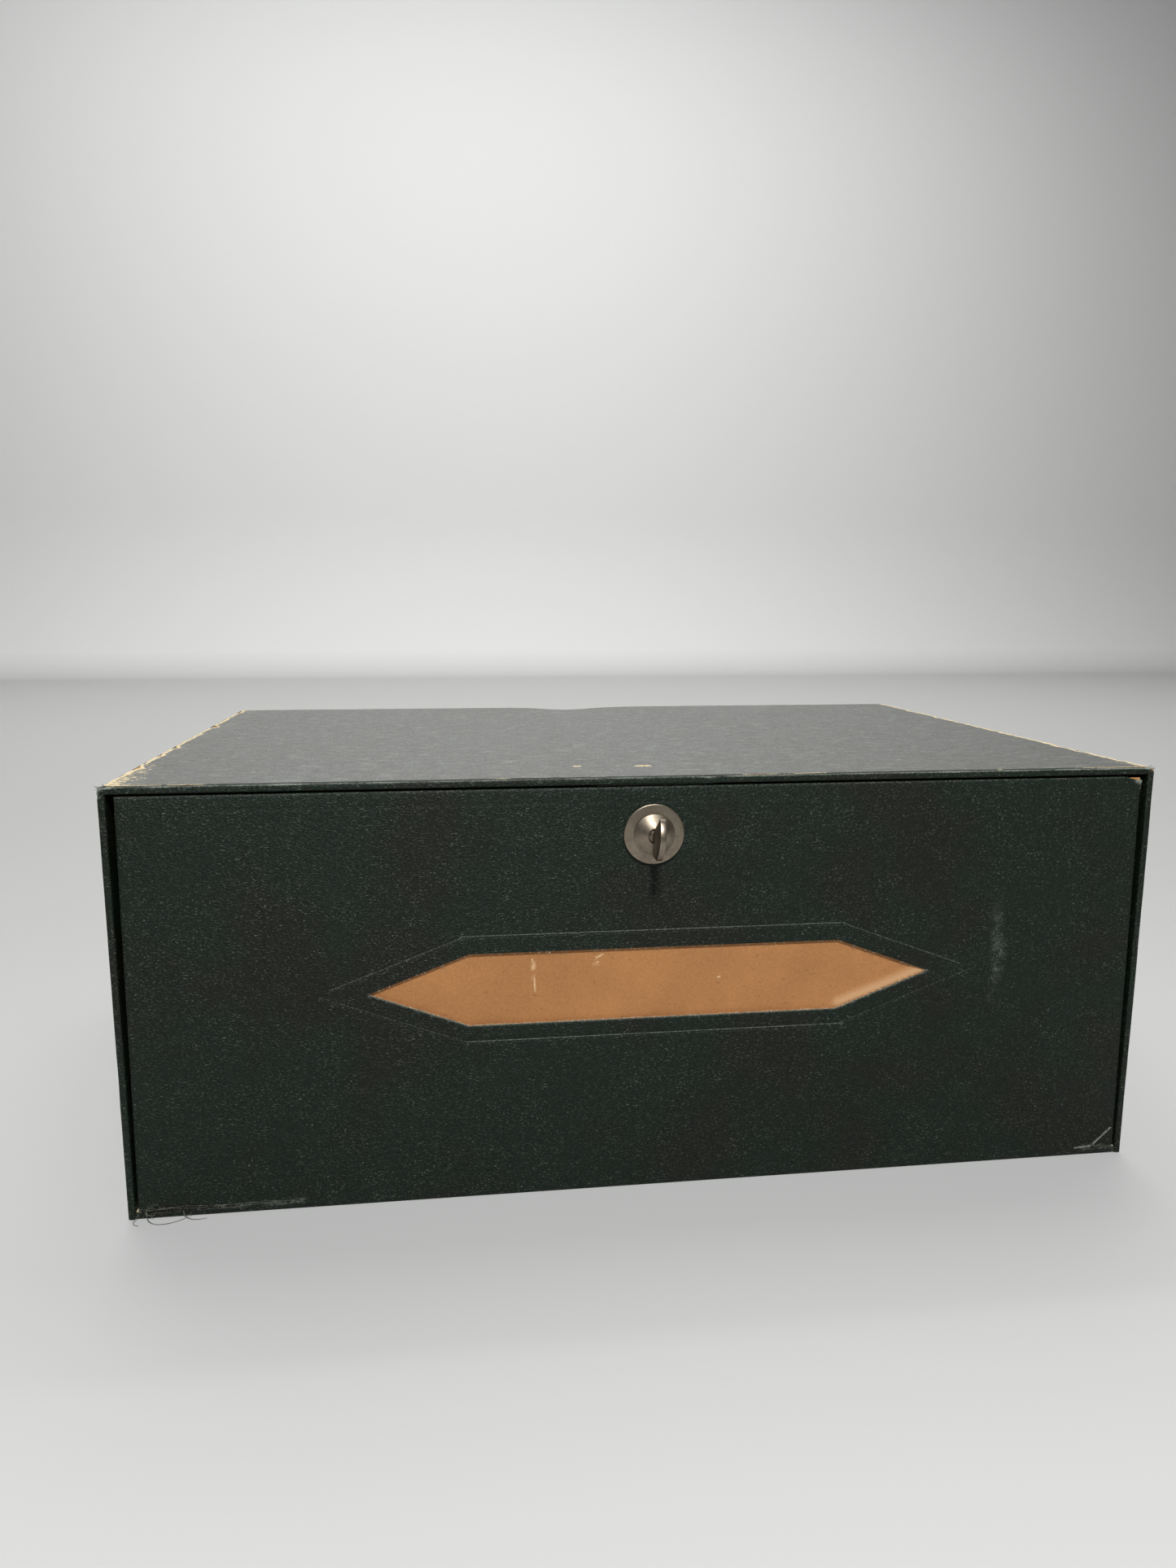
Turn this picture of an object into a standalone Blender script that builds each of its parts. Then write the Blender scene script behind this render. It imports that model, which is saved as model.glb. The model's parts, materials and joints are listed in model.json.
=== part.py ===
"""A cloth-covered card document box with a drop front, a label window and a thumb-turn latch.

The box stands closed, with its latch released. Metres, +Z up, the front towards -Y.
The origin is the middle of the casing's underside. The front turns about the fold of its
hinge cloth, and the latch about its spindle.
"""

import math

import bmesh
import bpy
from mathutils import Vector

# The casing, outside
BOX_WIDTH = 0.380
BOX_DEPTH = 0.258
BOX_HEIGHT = 0.156

# What it is made of
BOARD = 0.0016
CLOTH = 0.0003
LINING = 0.0002
GLUE_GAP = 0.0002  # left between sheets that are glued together

# Cloth that turns round an edge
BINDING_OUTSIDE = 0.003
BINDING_INSIDE = 0.012
TURN_IN = 0.010
TAPE_WIDTH = 0.014

# The drop front
FRONT_BOARD = 0.0012
BACK_BOARD = 0.0012
TOP_CLEARANCE = 0.0008
FOOT_CLEARANCE = 0.0003
SIDE_CLEARANCE_FOOT = 0.0010
SIDE_CLEARANCE_TOP = 0.0026

# The label window, pointed at both ends, and the card behind it
WINDOW_LENGTH = 0.208
WINDOW_STRAIGHT = 0.1366
WINDOW_HEIGHT = 0.0268
WINDOW_MIDDLE_Z = 0.0799
CARD = 0.0004
CARD_MARGIN = 0.006
CARD_POCKET_DEPTH = 0.0006
CARD_CLEARANCE = 0.0001

# The latch. Heights called "out" are distances in front of the drop front's face.
LATCH_X = -0.002
LATCH_BELOW_TOP = 0.0171
LATCH_GAP = 0.0002
RUNNING_CLEARANCE = 0.00015
ROSETTE_RADIUS = 0.0110
ROSETTE_THICK = 0.0009
ROSETTE_EDGE = 0.0003
TUBE_WALL = 0.00075
FLARE_WIDTH = 0.0011
FLARE_THICK = 0.0004
BOSS_RADIUS = 0.0074
BOSS_RIM = 0.00045
BOSS_HEIGHT = 0.0032
COLLAR_RADIUS = 0.0023
COLLAR_GROOVE = 0.0006
COLLAR_HEIGHT = 0.0006
SPINDLE_RADIUS = 0.0024
SPINDLE_SQUARE = 0.0032
STUB_RADIUS = 0.0014
STUB_PAST_NUT = 0.0003
BLADE_THICK = 0.0020
BLADE_ARC_RADIUS = 0.0090
BLADE_REACH = 0.0170
BLADE_DROP = 0.0068
BLADE_ARC_TOP_DEG = 57.0
BLADE_ARC_FOOT_DEG = -53.0
BLADE_HEEL_RADIUS = 0.0010
TENON_HALF = 0.0022
TENON_DEPTH = 0.0016
BACKING_HALF = 0.0088
BACKING_THICK = 0.0008
SPRING_RADIUS = 0.0046
SPRING_THICK = 0.0003
SPRING_HEIGHT = 0.0006
TONGUE_REACH = 0.0155
TONGUE_WIDTH = 0.0080
TONGUE_EYE_RADIUS = 0.0050
TONGUE_THICK = 0.0012
NUT_ACROSS = 0.0064
NUT_THICK = 0.0013
REST_TILT_DEG = 4.5  # the blade leans this far clockwise of upright at rest
STOP_PIN_RADIUS = 0.0010
STOP_PIN_ALONG = 0.0055
STOP_CLEARANCE = 0.0003

# The keeper that the tongue turns up behind
KEEPER_THICK = 0.0008
KEEPER_WIDTH = 0.040
KEEPER_DROP = 0.0080
KEEPER_DEPTH = 0.0220
KEEPER_CLEARANCE = 0.0006
RIVET_SPACING = 0.0250
RIVET_BEHIND_FRONT = 0.0190
RIVET_RADIUS = 0.0013
RIVET_HEAD_RADIUS = 0.0026
RIVET_HEAD_THICK = 0.0008
RIVET_FLARE_RADIUS = 0.0022
RIVET_CLEARANCE = 0.0002

ROUND_STEPS = 48
CUT_PAST = 0.002  # how far a cutter runs past what it cuts

# Where the layers of a wall lie, inwards from its outside
BOARD_OUT = CLOTH + GLUE_GAP
BOARD_IN = BOARD_OUT + BOARD
LINING_OUT = BOARD_IN + GLUE_GAP
WALL = LINING_OUT + LINING
BOUND_WALL = LINING_OUT + CLOTH  # where the binding cloth takes the lining's place

HALF_WIDTH = BOX_WIDTH / 2
FRONT = -BOX_DEPTH / 2
BACK = BOX_DEPTH / 2

# Where the layers of the drop front lie, backwards from its face
FRONT_BOARD_OUT = CLOTH + GLUE_GAP
FRONT_BOARD_IN = FRONT_BOARD_OUT + FRONT_BOARD
BACK_BOARD_OUT = FRONT_BOARD_IN + GLUE_GAP
BACK_BOARD_IN = BACK_BOARD_OUT + BACK_BOARD
FLAP_LINING_OUT = BACK_BOARD_IN + GLUE_GAP
FLAP_THICK = FLAP_LINING_OUT + CLOTH
FLAP_LOW = WALL + FOOT_CLEARANCE
FLAP_HIGH = BOX_HEIGHT - BOUND_WALL - TOP_CLEARANCE
FLAP_HALF_FOOT = HALF_WIDTH - BOUND_WALL - SIDE_CLEARANCE_FOOT
FLAP_HALF_TOP = HALF_WIDTH - BOUND_WALL - SIDE_CLEARANCE_TOP
HINGE_Z = WALL + FOOT_CLEARANCE / 2

# Where the latch's layers lie, as distances out from the drop front's face
LATCH_Z = FLAP_HIGH - LATCH_BELOW_TOP
ROSETTE_OUT = LATCH_GAP + ROSETTE_THICK
BOSS_OUT = ROSETTE_OUT + LATCH_GAP
COLLAR_OUT = BOSS_OUT + BOSS_HEIGHT
BORE_RADIUS = SPINDLE_RADIUS + RUNNING_CLEARANCE
TUBE_RADIUS = BORE_RADIUS + TUBE_WALL
LATCH_HOLE_RADIUS = TUBE_RADIUS + LATCH_GAP
BACKING_OUT = -FLAP_THICK - LATCH_GAP
BACKING_IN = BACKING_OUT - BACKING_THICK
FLARE_OUT = BACKING_IN - LATCH_GAP
FLARE_IN = FLARE_OUT - FLARE_THICK
SPRING_OUT = FLARE_IN - LATCH_GAP
SPRING_IN = SPRING_OUT - SPRING_HEIGHT
TONGUE_OUT = SPRING_IN - LATCH_GAP
TONGUE_IN = TONGUE_OUT - TONGUE_THICK
NUT_OUT = TONGUE_IN - LATCH_GAP
NUT_IN = NUT_OUT - NUT_THICK

KEEPER_FRONT = FRONT + FLAP_THICK + KEEPER_CLEARANCE
KEEPER_TOP = BOX_HEIGHT - BOUND_WALL - GLUE_GAP
RIVET_Y = FRONT + RIVET_BEHIND_FRONT
RIVET_TOP = BOX_HEIGHT - BOARD_OUT
RIVET_SEAT = KEEPER_TOP - KEEPER_THICK - LATCH_GAP


# ---- Tools --------------------------------------------------------------------------------


def clear_scene():
    for old in list(bpy.data.objects):
        bpy.data.objects.remove(old)


def new_collection(name):
    made = bpy.data.collections.new(name)
    bpy.context.scene.collection.children.link(made)
    return made


def new_material(name, colour, roughness, metallic=0.0):
    made = bpy.data.materials.new(name)
    made.use_nodes = True
    shader = made.node_tree.nodes["Principled BSDF"]
    shader.inputs["Base Color"].default_value = (*colour, 1.0)
    shader.inputs["Roughness"].default_value = roughness
    shader.inputs["Metallic"].default_value = metallic
    return made


def add_mesh(name, bm, material=None, parent=None):
    """A new object from a bmesh. With no material it is a cutter."""
    mesh = bpy.data.meshes.new(name)
    bm.to_mesh(mesh)
    bm.free()
    made = bpy.data.objects.new(name, mesh)
    if material:
        mesh.materials.append(material)
        BOX_PARTS.objects.link(made)
    else:
        CUTTERS.objects.link(made)
        made.hide_render = True
        made.display_type = "WIRE"
    made.parent = parent
    return made


def add_slab(name, low, high, material=None, parent=None):
    """A rectangular block from its lowest corner to its highest."""
    bm = bmesh.new()
    bmesh.ops.create_cube(bm, size=1.0)
    for vert in bm.verts:
        for axis in range(3):
            vert.co[axis] = high[axis] if vert.co[axis] > 0 else low[axis]
    return add_mesh(name, bm, material, parent)


def add_flap_slab(name, inset, low, high, near, far, material=None):
    """A block that narrows upwards as the drop front does, inset from its side edges.

    near and far are distances behind the front's face, and low and high are heights. It hangs
    from the hinge line.
    """
    bm = bmesh.new()
    bmesh.ops.create_cube(bm, size=1.0)
    for vert in bm.verts:
        height = high if vert.co.z > 0 else low
        rise = (height - FLAP_LOW) / (FLAP_HIGH - FLAP_LOW)
        half = FLAP_HALF_FOOT + (FLAP_HALF_TOP - FLAP_HALF_FOOT) * rise - inset
        vert.co.x = math.copysign(half, vert.co.x)
        vert.co.y = far if vert.co.y > 0 else near
        vert.co.z = height - HINGE_Z
    return add_mesh(name, bm, material, HINGE_FRAME)


def add_cylinder(name, radius, low, high, material=None, parent=None, sides=ROUND_STEPS, at=(0, 0)):
    """A cylinder along Z, standing on low and reaching high."""
    bm = bmesh.new()
    bmesh.ops.create_cone(
        bm, cap_ends=True, segments=sides, radius1=radius, radius2=radius, depth=high - low
    )
    bmesh.ops.translate(bm, verts=bm.verts, vec=(at[0], at[1], (low + high) / 2))
    return add_mesh(name, bm, material, parent)


def add_turned(name, profile, material=None, parent=None, ring=False):
    """A turned piece about Z. The profile's (radius, height) points run down its outer side."""
    bm = bmesh.new()
    verts = [bm.verts.new((radius, 0, height)) for radius, height in profile]
    pairs = zip(verts, verts[1:] + verts[:1] if ring else verts[1:])
    for start, end in pairs:
        bm.edges.new((start, end))
    made = add_mesh(name, bm, material, parent)
    screw = made.modifiers.new("turn", "SCREW")
    screw.steps = ROUND_STEPS
    screw.render_steps = ROUND_STEPS
    screw.use_merge_vertices = True
    screw.merge_threshold = 0.00001
    return made


def add_plate(name, outlines, low, high, material=None, parent=None):
    """A flat piece in the XY plane: the first outline is its edge, and the rest are holes."""
    curve = bpy.data.curves.new(name, "CURVE")
    curve.dimensions = "2D"
    curve.fill_mode = "BOTH"
    curve.extrude = (high - low) / 2
    for outline in outlines:
        spline = curve.splines.new("POLY")
        spline.points.add(len(outline) - 1)
        for point, (x, y) in zip(spline.points, outline):
            point.co = (x, y, 0, 1)
        spline.use_cyclic_u = True
    drawn = bpy.data.objects.new(name + "_outline", curve)
    BOX_PARTS.objects.link(drawn)
    graph = bpy.context.evaluated_depsgraph_get()
    mesh = bpy.data.meshes.new_from_object(drawn.evaluated_get(graph))
    bpy.data.objects.remove(drawn)
    bm = bmesh.new()
    bm.from_mesh(mesh)
    bpy.data.meshes.remove(mesh)
    bmesh.ops.remove_doubles(bm, verts=bm.verts, dist=0.000001)
    bmesh.ops.translate(bm, verts=bm.verts, vec=(0, 0, (low + high) / 2))
    return add_mesh(name, bm, material, parent)


def add_folded_sheet(name, path, sweep, thickness, material):
    """A sheet folded along path and as wide as the vector sweep.

    Its thickness lies on the left of the path for a viewer who looks along -sweep.
    """
    bm = bmesh.new()
    near = [bm.verts.new(point) for point in path]
    far = [bm.verts.new(Vector(point) + Vector(sweep)) for point in path]
    for i in range(len(path) - 1):
        bm.faces.new((near[i], near[i + 1], far[i + 1], far[i]))
    made = add_mesh(name, bm, material)
    thicken(made, thickness)
    return made


def thicken(made, thickness):
    """Gives an open surface its thickness, behind its faces."""
    solidify = made.modifiers.new("thickness", "SOLIDIFY")
    solidify.thickness = thickness
    solidify.offset = -1.0
    solidify.use_even_offset = True
    solidify.use_quality_normals = True


def boolean(made, other, operation="DIFFERENCE"):
    step = made.modifiers.new(operation.lower() + "_" + other.name, "BOOLEAN")
    step.operation = operation
    step.solver = "EXACT"
    step.object = other


def round_edges(made, width, segments=2):
    bevel = made.modifiers.new("round_edges", "BEVEL")
    bevel.width = width
    bevel.segments = segments
    bevel.limit_method = "ANGLE"


def shade_round(made):
    made.data.shade_smooth()
    made.data.set_sharp_from_angle(angle=math.radians(35))


def arc(middle, radius, start_deg, end_deg, steps):
    """Points on an arc, its ends included."""
    angles = [math.radians(start_deg + (end_deg - start_deg) * i / steps) for i in range(steps + 1)]
    return [(middle[0] + radius * math.cos(a), middle[1] + radius * math.sin(a)) for a in angles]


def add_frame(name, place, parent=None):
    empty = bpy.data.objects.new(name, None)
    BOX_PARTS.objects.link(empty)
    empty.location = place
    empty.parent = parent
    return empty


def add_latch_frame(name, clockwise_deg):
    """An empty on the spindle's line in the drop front's face. Its Z points out and its Y up."""
    empty = add_frame(name, (LATCH_X, 0, LATCH_Z - HINGE_Z), HINGE_FRAME)
    empty.rotation_euler = (math.radians(90), math.radians(clockwise_deg), 0)
    return empty


# ---- The casing ---------------------------------------------------------------------------


def make_boards():
    """Five boards: the top lies on the sides, and the base and the back stand between them."""
    out_x = HALF_WIDTH - BOARD_OUT
    in_x = HALF_WIDTH - BOARD_IN
    between_x = HALF_WIDTH - BOUND_WALL - GLUE_GAP
    front_y = FRONT + BOARD_OUT
    back_y = BACK - BOARD_OUT
    low_z = BOARD_OUT
    under_top = BOX_HEIGHT - BOARD_IN
    side_high = under_top - GLUE_GAP
    in_y = BACK - BOARD_IN
    add_slab("left_side_board", (-out_x, front_y, low_z), (-in_x, back_y, side_high), GREYBOARD)
    add_slab("right_side_board", (in_x, front_y, low_z), (out_x, back_y, side_high), GREYBOARD)
    add_slab("back_board", (-between_x, in_y, low_z), (between_x, back_y, side_high), GREYBOARD)
    add_slab("base_board", (-between_x, front_y, low_z), (between_x, in_y - GLUE_GAP, BOARD_IN), GREYBOARD)
    top = add_slab("top_board", (-out_x, front_y, under_top), (out_x, back_y, BOX_HEIGHT - BOARD_OUT), GREYBOARD)
    cut_rivet_holes(top)


def make_outer_cloths():
    """The wrap round the sides and back, the sheets above and below, and the cloth of the edges."""
    wrap_front = FRONT + BINDING_OUTSIDE + GLUE_GAP
    wrap_low = BOARD_OUT
    wrap_high = BOX_HEIGHT - BOARD_OUT
    add_folded_sheet(
        "side_wrap_cloth",
        [
            (HALF_WIDTH, wrap_front, wrap_low),
            (HALF_WIDTH, BACK, wrap_low),
            (-HALF_WIDTH, BACK, wrap_low),
            (-HALF_WIDTH, wrap_front, wrap_low),
        ],
        (0, 0, wrap_high - wrap_low),
        CLOTH,
        GREEN_CLOTH,
    )
    add_slab(
        "top_cover_sheet",
        (-HALF_WIDTH, wrap_front, BOX_HEIGHT - CLOTH),
        (HALF_WIDTH, BACK, BOX_HEIGHT),
        GREEN_PAPER,
    )
    under_front = FRONT + BINDING_INSIDE
    add_slab("base_cover_sheet", (-HALF_WIDTH, under_front + GLUE_GAP, 0), (HALF_WIDTH, BACK, CLOTH), GREEN_CLOTH)
    hinge_half = HALF_WIDTH - BOUND_WALL - GLUE_GAP
    add_folded_sheet(
        "hinge_cloth",
        [(-hinge_half, FRONT, WALL), (-hinge_half, FRONT, 0), (-hinge_half, under_front, 0)],
        (2 * hinge_half, 0, 0),
        CLOTH,
        GREEN_CLOTH,
    )


def make_edge_binding():
    """One strip of cloth round the front edges of both sides and the top, mitred at the corners."""
    section = [
        (0, FRONT + BINDING_OUTSIDE),
        (0, FRONT),
        (BOUND_WALL, FRONT),
        (BOUND_WALL, FRONT + BINDING_INSIDE),
    ]
    bm = bmesh.new()
    rows = []
    for inset, y in section:
        x = HALF_WIDTH - inset
        top = BOX_HEIGHT - inset
        corners = [(-x, y, 0), (-x, y, top), (x, y, top), (x, y, 0)]
        rows.append([bm.verts.new(corner) for corner in corners])
    for outer, inner in zip(rows, rows[1:]):
        for i in range(3):
            bm.faces.new((outer[i], inner[i], inner[i + 1], outer[i + 1]))
    made = add_mesh("edge_binding_cloth", bm, GREEN_CLOTH)
    thicken(made, CLOTH)


def make_linings():
    """Paper on the floor, round the three walls and on the ceiling, and tape in the back corners."""
    front_y = FRONT + BINDING_INSIDE + GLUE_GAP
    wall_x = HALF_WIDTH - LINING_OUT
    wall_y = BACK - LINING_OUT
    floor_high = WALL
    ceiling_low = BOX_HEIGHT - WALL
    inside_x = HALF_WIDTH - BOUND_WALL - GLUE_GAP
    inside_y = BACK - WALL - GLUE_GAP
    floor_low = LINING_OUT
    add_slab(
        "floor_lining",
        (-inside_x, FRONT + BOARD_OUT, floor_low),
        (inside_x, inside_y, floor_high),
        LINING_PAPER,
    )
    ceiling = add_slab(
        "ceiling_lining",
        (-inside_x, front_y, ceiling_low),
        (inside_x, inside_y, ceiling_low + LINING),
        LINING_PAPER,
    )
    cut_rivet_holes(ceiling)
    add_folded_sheet(
        "wall_lining",
        [(wall_x, front_y, floor_low), (wall_x, wall_y, floor_low), (-wall_x, wall_y, floor_low), (-wall_x, front_y, floor_low)],
        (0, 0, ceiling_low + LINING - floor_low),
        LINING,
        LINING_PAPER,
    )
    tape_low = floor_high + GLUE_GAP
    tape_high = ceiling_low - GLUE_GAP
    for side, x in (("left", -inside_x), ("right", inside_x)):
        turn = math.copysign(TAPE_WIDTH, x)
        path = [(x, inside_y - TAPE_WIDTH, tape_low), (x, inside_y, tape_low), (x - turn, inside_y, tape_low)]
        if x < 0:
            path.reverse()
        add_folded_sheet(side + "_corner_tape", path, (0, 0, tape_high - tape_low), LINING, TAPE)


# ---- The keeper ---------------------------------------------------------------------------


def rivet_places():
    return [LATCH_X - RIVET_SPACING / 2, LATCH_X + RIVET_SPACING / 2]


def cut_rivet_holes(made):
    """Two holes, flared at the top board's upper face."""
    radius = RIVET_RADIUS + RIVET_CLEARANCE
    flared = RIVET_FLARE_RADIUS + RIVET_CLEARANCE
    profile = [
        (0, RIVET_TOP + CUT_PAST),
        (flared, RIVET_TOP + CUT_PAST),
        (flared, RIVET_TOP),
        (radius, RIVET_TOP - (flared - radius)),
        (radius, RIVET_SEAT - CUT_PAST),
        (0, RIVET_SEAT - CUT_PAST),
    ]
    for number, x in enumerate(rivet_places()):
        cutter = add_turned(f"{made.name}_rivet_hole_{number}", profile)
        cutter.location = (x, RIVET_Y, 0)
        boolean(made, cutter)


def make_keeper():
    """An angle of sheet steel: its leg hangs just behind the drop front, over the tongue's path."""
    left = LATCH_X - KEEPER_WIDTH / 2
    low = KEEPER_TOP - KEEPER_DROP
    keeper = add_folded_sheet(
        "keeper_bracket",
        [(left, KEEPER_FRONT + KEEPER_DEPTH, KEEPER_TOP), (left, KEEPER_FRONT, KEEPER_TOP), (left, KEEPER_FRONT, low)],
        (KEEPER_WIDTH, 0, 0),
        KEEPER_THICK,
        STEEL,
    )
    cut_rivet_holes(keeper)
    profile = [
        (0, RIVET_TOP),
        (RIVET_FLARE_RADIUS, RIVET_TOP),
        (RIVET_RADIUS, RIVET_TOP - (RIVET_FLARE_RADIUS - RIVET_RADIUS)),
        (RIVET_RADIUS, RIVET_SEAT),
        (RIVET_HEAD_RADIUS, RIVET_SEAT),
        (RIVET_HEAD_RADIUS * 0.8, RIVET_SEAT - RIVET_HEAD_THICK * 0.7),
        (RIVET_HEAD_RADIUS * 0.4, RIVET_SEAT - RIVET_HEAD_THICK),
        (0, RIVET_SEAT - RIVET_HEAD_THICK),
    ]
    for side, x in zip(("left", "right"), rivet_places()):
        rivet = add_turned(f"keeper_rivet_{side}", profile, STEEL)
        rivet.location = (x, RIVET_Y, 0)
        shade_round(rivet)


# ---- The drop front -----------------------------------------------------------------------


def window_outline(grow=0.0):
    """The window's six corners, as (x, height) pairs."""
    tip = WINDOW_LENGTH / 2 + grow
    straight = WINDOW_STRAIGHT / 2
    half = WINDOW_HEIGHT / 2 + grow
    middle = WINDOW_MIDDLE_Z
    return [
        (-tip, middle),
        (-straight, middle - half),
        (straight, middle - half),
        (tip, middle),
        (straight, middle + half),
        (-straight, middle + half),
    ]


def cut_window(made):
    cutter = add_plate(
        made.name + "_window", [window_outline()], -CUT_PAST, FLAP_THICK + CUT_PAST, None, HINGE_FRAME
    )
    cutter.location = (0, FLAP_THICK, -HINGE_Z)
    cutter.rotation_euler.x = math.radians(90)
    boolean(made, cutter)


def cut_latch_hole(made):
    hole = add_cylinder(made.name + "_latch_hole", LATCH_HOLE_RADIUS, -FLAP_THICK - CUT_PAST, CUT_PAST)
    hole.parent = LATCH_FRAME
    boolean(made, hole)


def make_drop_front():
    """Two boards with the label card between them, covered outside and lined inside."""
    edge = CLOTH + GLUE_GAP
    board_high = FLAP_HIGH - edge
    front_board = add_flap_slab(
        "flap_front_board", edge, FLAP_LOW, board_high, FRONT_BOARD_OUT, FRONT_BOARD_IN, GREYBOARD
    )
    cut_window(front_board)
    cut_latch_hole(front_board)
    card_half_x = WINDOW_LENGTH / 2 + CARD_MARGIN
    card_half_z = WINDOW_HEIGHT / 2 + CARD_MARGIN
    card_z = WINDOW_MIDDLE_Z - HINGE_Z
    pocket_y = FRONT_BOARD_IN - CARD_POCKET_DEPTH
    pocket = add_slab(
        "label_card_pocket",
        (-card_half_x - GLUE_GAP, pocket_y, card_z - card_half_z - GLUE_GAP),
        (card_half_x + GLUE_GAP, FRONT_BOARD_IN + CUT_PAST, card_z + card_half_z + GLUE_GAP),
        None,
        HINGE_FRAME,
    )
    boolean(front_board, pocket)
    back_board = add_flap_slab(
        "flap_back_board", edge, FLAP_LOW, board_high, BACK_BOARD_OUT, BACK_BOARD_IN, GREYBOARD
    )
    cut_latch_hole(back_board)
    card_y = pocket_y + CARD_CLEARANCE
    add_slab(
        "label_card",
        (-card_half_x, card_y, card_z - card_half_z),
        (card_half_x, card_y + CARD, card_z + card_half_z),
        KRAFT_CARD,
        HINGE_FRAME,
    )
    lining_inset = TURN_IN + GLUE_GAP
    lining = add_flap_slab(
        "flap_lining",
        lining_inset,
        FLAP_LOW,
        FLAP_HIGH - lining_inset,
        FLAP_LINING_OUT,
        FLAP_LINING_OUT + LINING,
        LINING_PAPER,
    )
    cut_latch_hole(lining)
    make_flap_cover()


def make_flap_cover():
    """Cloth over the face, round three edges and turned in behind. Its foot is open to the boards."""
    cover = add_flap_slab("flap_cover_cloth", 0, FLAP_LOW, FLAP_HIGH, 0, FLAP_THICK, GREEN_CLOTH)
    low = FLAP_LOW - CUT_PAST
    core = add_flap_slab(
        "flap_cover_core", CLOTH, low, FLAP_HIGH - CLOTH, CLOTH, FLAP_THICK - CLOTH
    )
    boolean(cover, core)
    back = add_flap_slab(
        "flap_cover_back", TURN_IN, low, FLAP_HIGH - TURN_IN, FLAP_THICK / 2, FLAP_THICK + CUT_PAST
    )
    boolean(cover, back)
    cut_window(cover)
    cut_latch_hole(cover)


# ---- The latch ----------------------------------------------------------------------------


def make_rosette():
    """The plate on the face, and its tube through the front, flared over the backing plate."""
    profile = [
        (BORE_RADIUS, ROSETTE_OUT),
        (ROSETTE_RADIUS - ROSETTE_EDGE, ROSETTE_OUT),
        (ROSETTE_RADIUS, ROSETTE_OUT - ROSETTE_EDGE),
        (ROSETTE_RADIUS, LATCH_GAP),
        (TUBE_RADIUS, LATCH_GAP),
        (TUBE_RADIUS, FLARE_OUT),
        (TUBE_RADIUS + FLARE_WIDTH, FLARE_OUT),
        (TUBE_RADIUS + FLARE_WIDTH, FLARE_IN),
        (BORE_RADIUS, FLARE_IN),
    ]
    rosette = add_turned("rosette", profile, NICKEL, LATCH_FRAME, ring=True)
    shade_round(rosette)


def stop_places():
    """Where the tongue's two stop pins stand: under it at rest, and past it when it is up."""
    across = TONGUE_WIDTH / 2 + STOP_CLEARANCE + STOP_PIN_RADIUS
    rest = math.radians(-REST_TILT_DEG)
    below = Vector((STOP_PIN_ALONG, -across)).to_3d()
    past = Vector((-across, STOP_PIN_ALONG)).to_3d()
    turned = Vector(
        (
            below.x * math.cos(rest) - below.y * math.sin(rest),
            below.x * math.sin(rest) + below.y * math.cos(rest),
        )
    )
    return [(turned.x, turned.y), (past.x, past.y)]


def make_backing_plate():
    """The plate behind the drop front that the rosette's tube is flared over, with its stop pins."""
    half = BACKING_HALF
    square = [(-half, -half), (half, -half), (half, half), (-half, half)]
    hole = arc((0, 0), LATCH_HOLE_RADIUS, 0, 360 - 360 / ROUND_STEPS, ROUND_STEPS - 1)
    plate = add_plate("backing_plate", [square, hole], BACKING_IN, BACKING_OUT, STEEL, LATCH_FRAME)
    pin_end = (TONGUE_IN + TONGUE_OUT) / 2
    for number, place in enumerate(stop_places()):
        pin = add_cylinder(
            f"stop_pin_{number}",
            STOP_PIN_RADIUS,
            pin_end,
            (BACKING_IN + BACKING_OUT) / 2,
            parent=LATCH_FRAME,
            sides=16,
            at=place,
        )
        boolean(plate, pin, "UNION")


def make_knob():
    """The turned boss with its slotted collar and spindle, and the blade that stands in the slot."""
    rim = BOSS_OUT + BOSS_RIM
    groove = COLLAR_RADIUS + COLLAR_GROOVE
    groove_out = COLLAR_OUT - COLLAR_GROOVE
    square_in = TONGUE_IN
    profile = [
        (0, COLLAR_OUT + COLLAR_HEIGHT),
        (COLLAR_RADIUS * 0.85, COLLAR_OUT + COLLAR_HEIGHT),
        (COLLAR_RADIUS, COLLAR_OUT + COLLAR_HEIGHT / 2),
        (COLLAR_RADIUS, groove_out),
        (groove, groove_out),
        (groove, COLLAR_OUT),
        (BOSS_RADIUS, rim),
        (BOSS_RADIUS, BOSS_OUT),
        (SPINDLE_RADIUS, BOSS_OUT),
        (SPINDLE_RADIUS, SPRING_IN),
        (STUB_RADIUS, SPRING_IN),
        (STUB_RADIUS, NUT_IN - STUB_PAST_NUT),
        (0, NUT_IN - STUB_PAST_NUT),
    ]
    boss = add_turned("knob_boss", profile, NICKEL, TURNING_FRAME)
    half = SPINDLE_SQUARE / 2
    square = add_slab(
        "spindle_square", (-half, -half, square_in), (half, half, SPRING_IN + CUT_PAST / 2), None, TURNING_FRAME
    )
    boolean(boss, square, "UNION")
    slot_x = BLADE_THICK / 2 + LATCH_GAP
    slot_y = TENON_HALF + LATCH_GAP
    slot_low = COLLAR_OUT + COLLAR_HEIGHT - TENON_DEPTH - LATCH_GAP
    slot = add_slab(
        "blade_slot",
        (-slot_x, -slot_y, slot_low),
        (slot_x, slot_y, COLLAR_OUT + COLLAR_HEIGHT + CUT_PAST),
        None,
        TURNING_FRAME,
    )
    boolean(boss, slot)
    shade_round(boss)
    make_blade()


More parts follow.
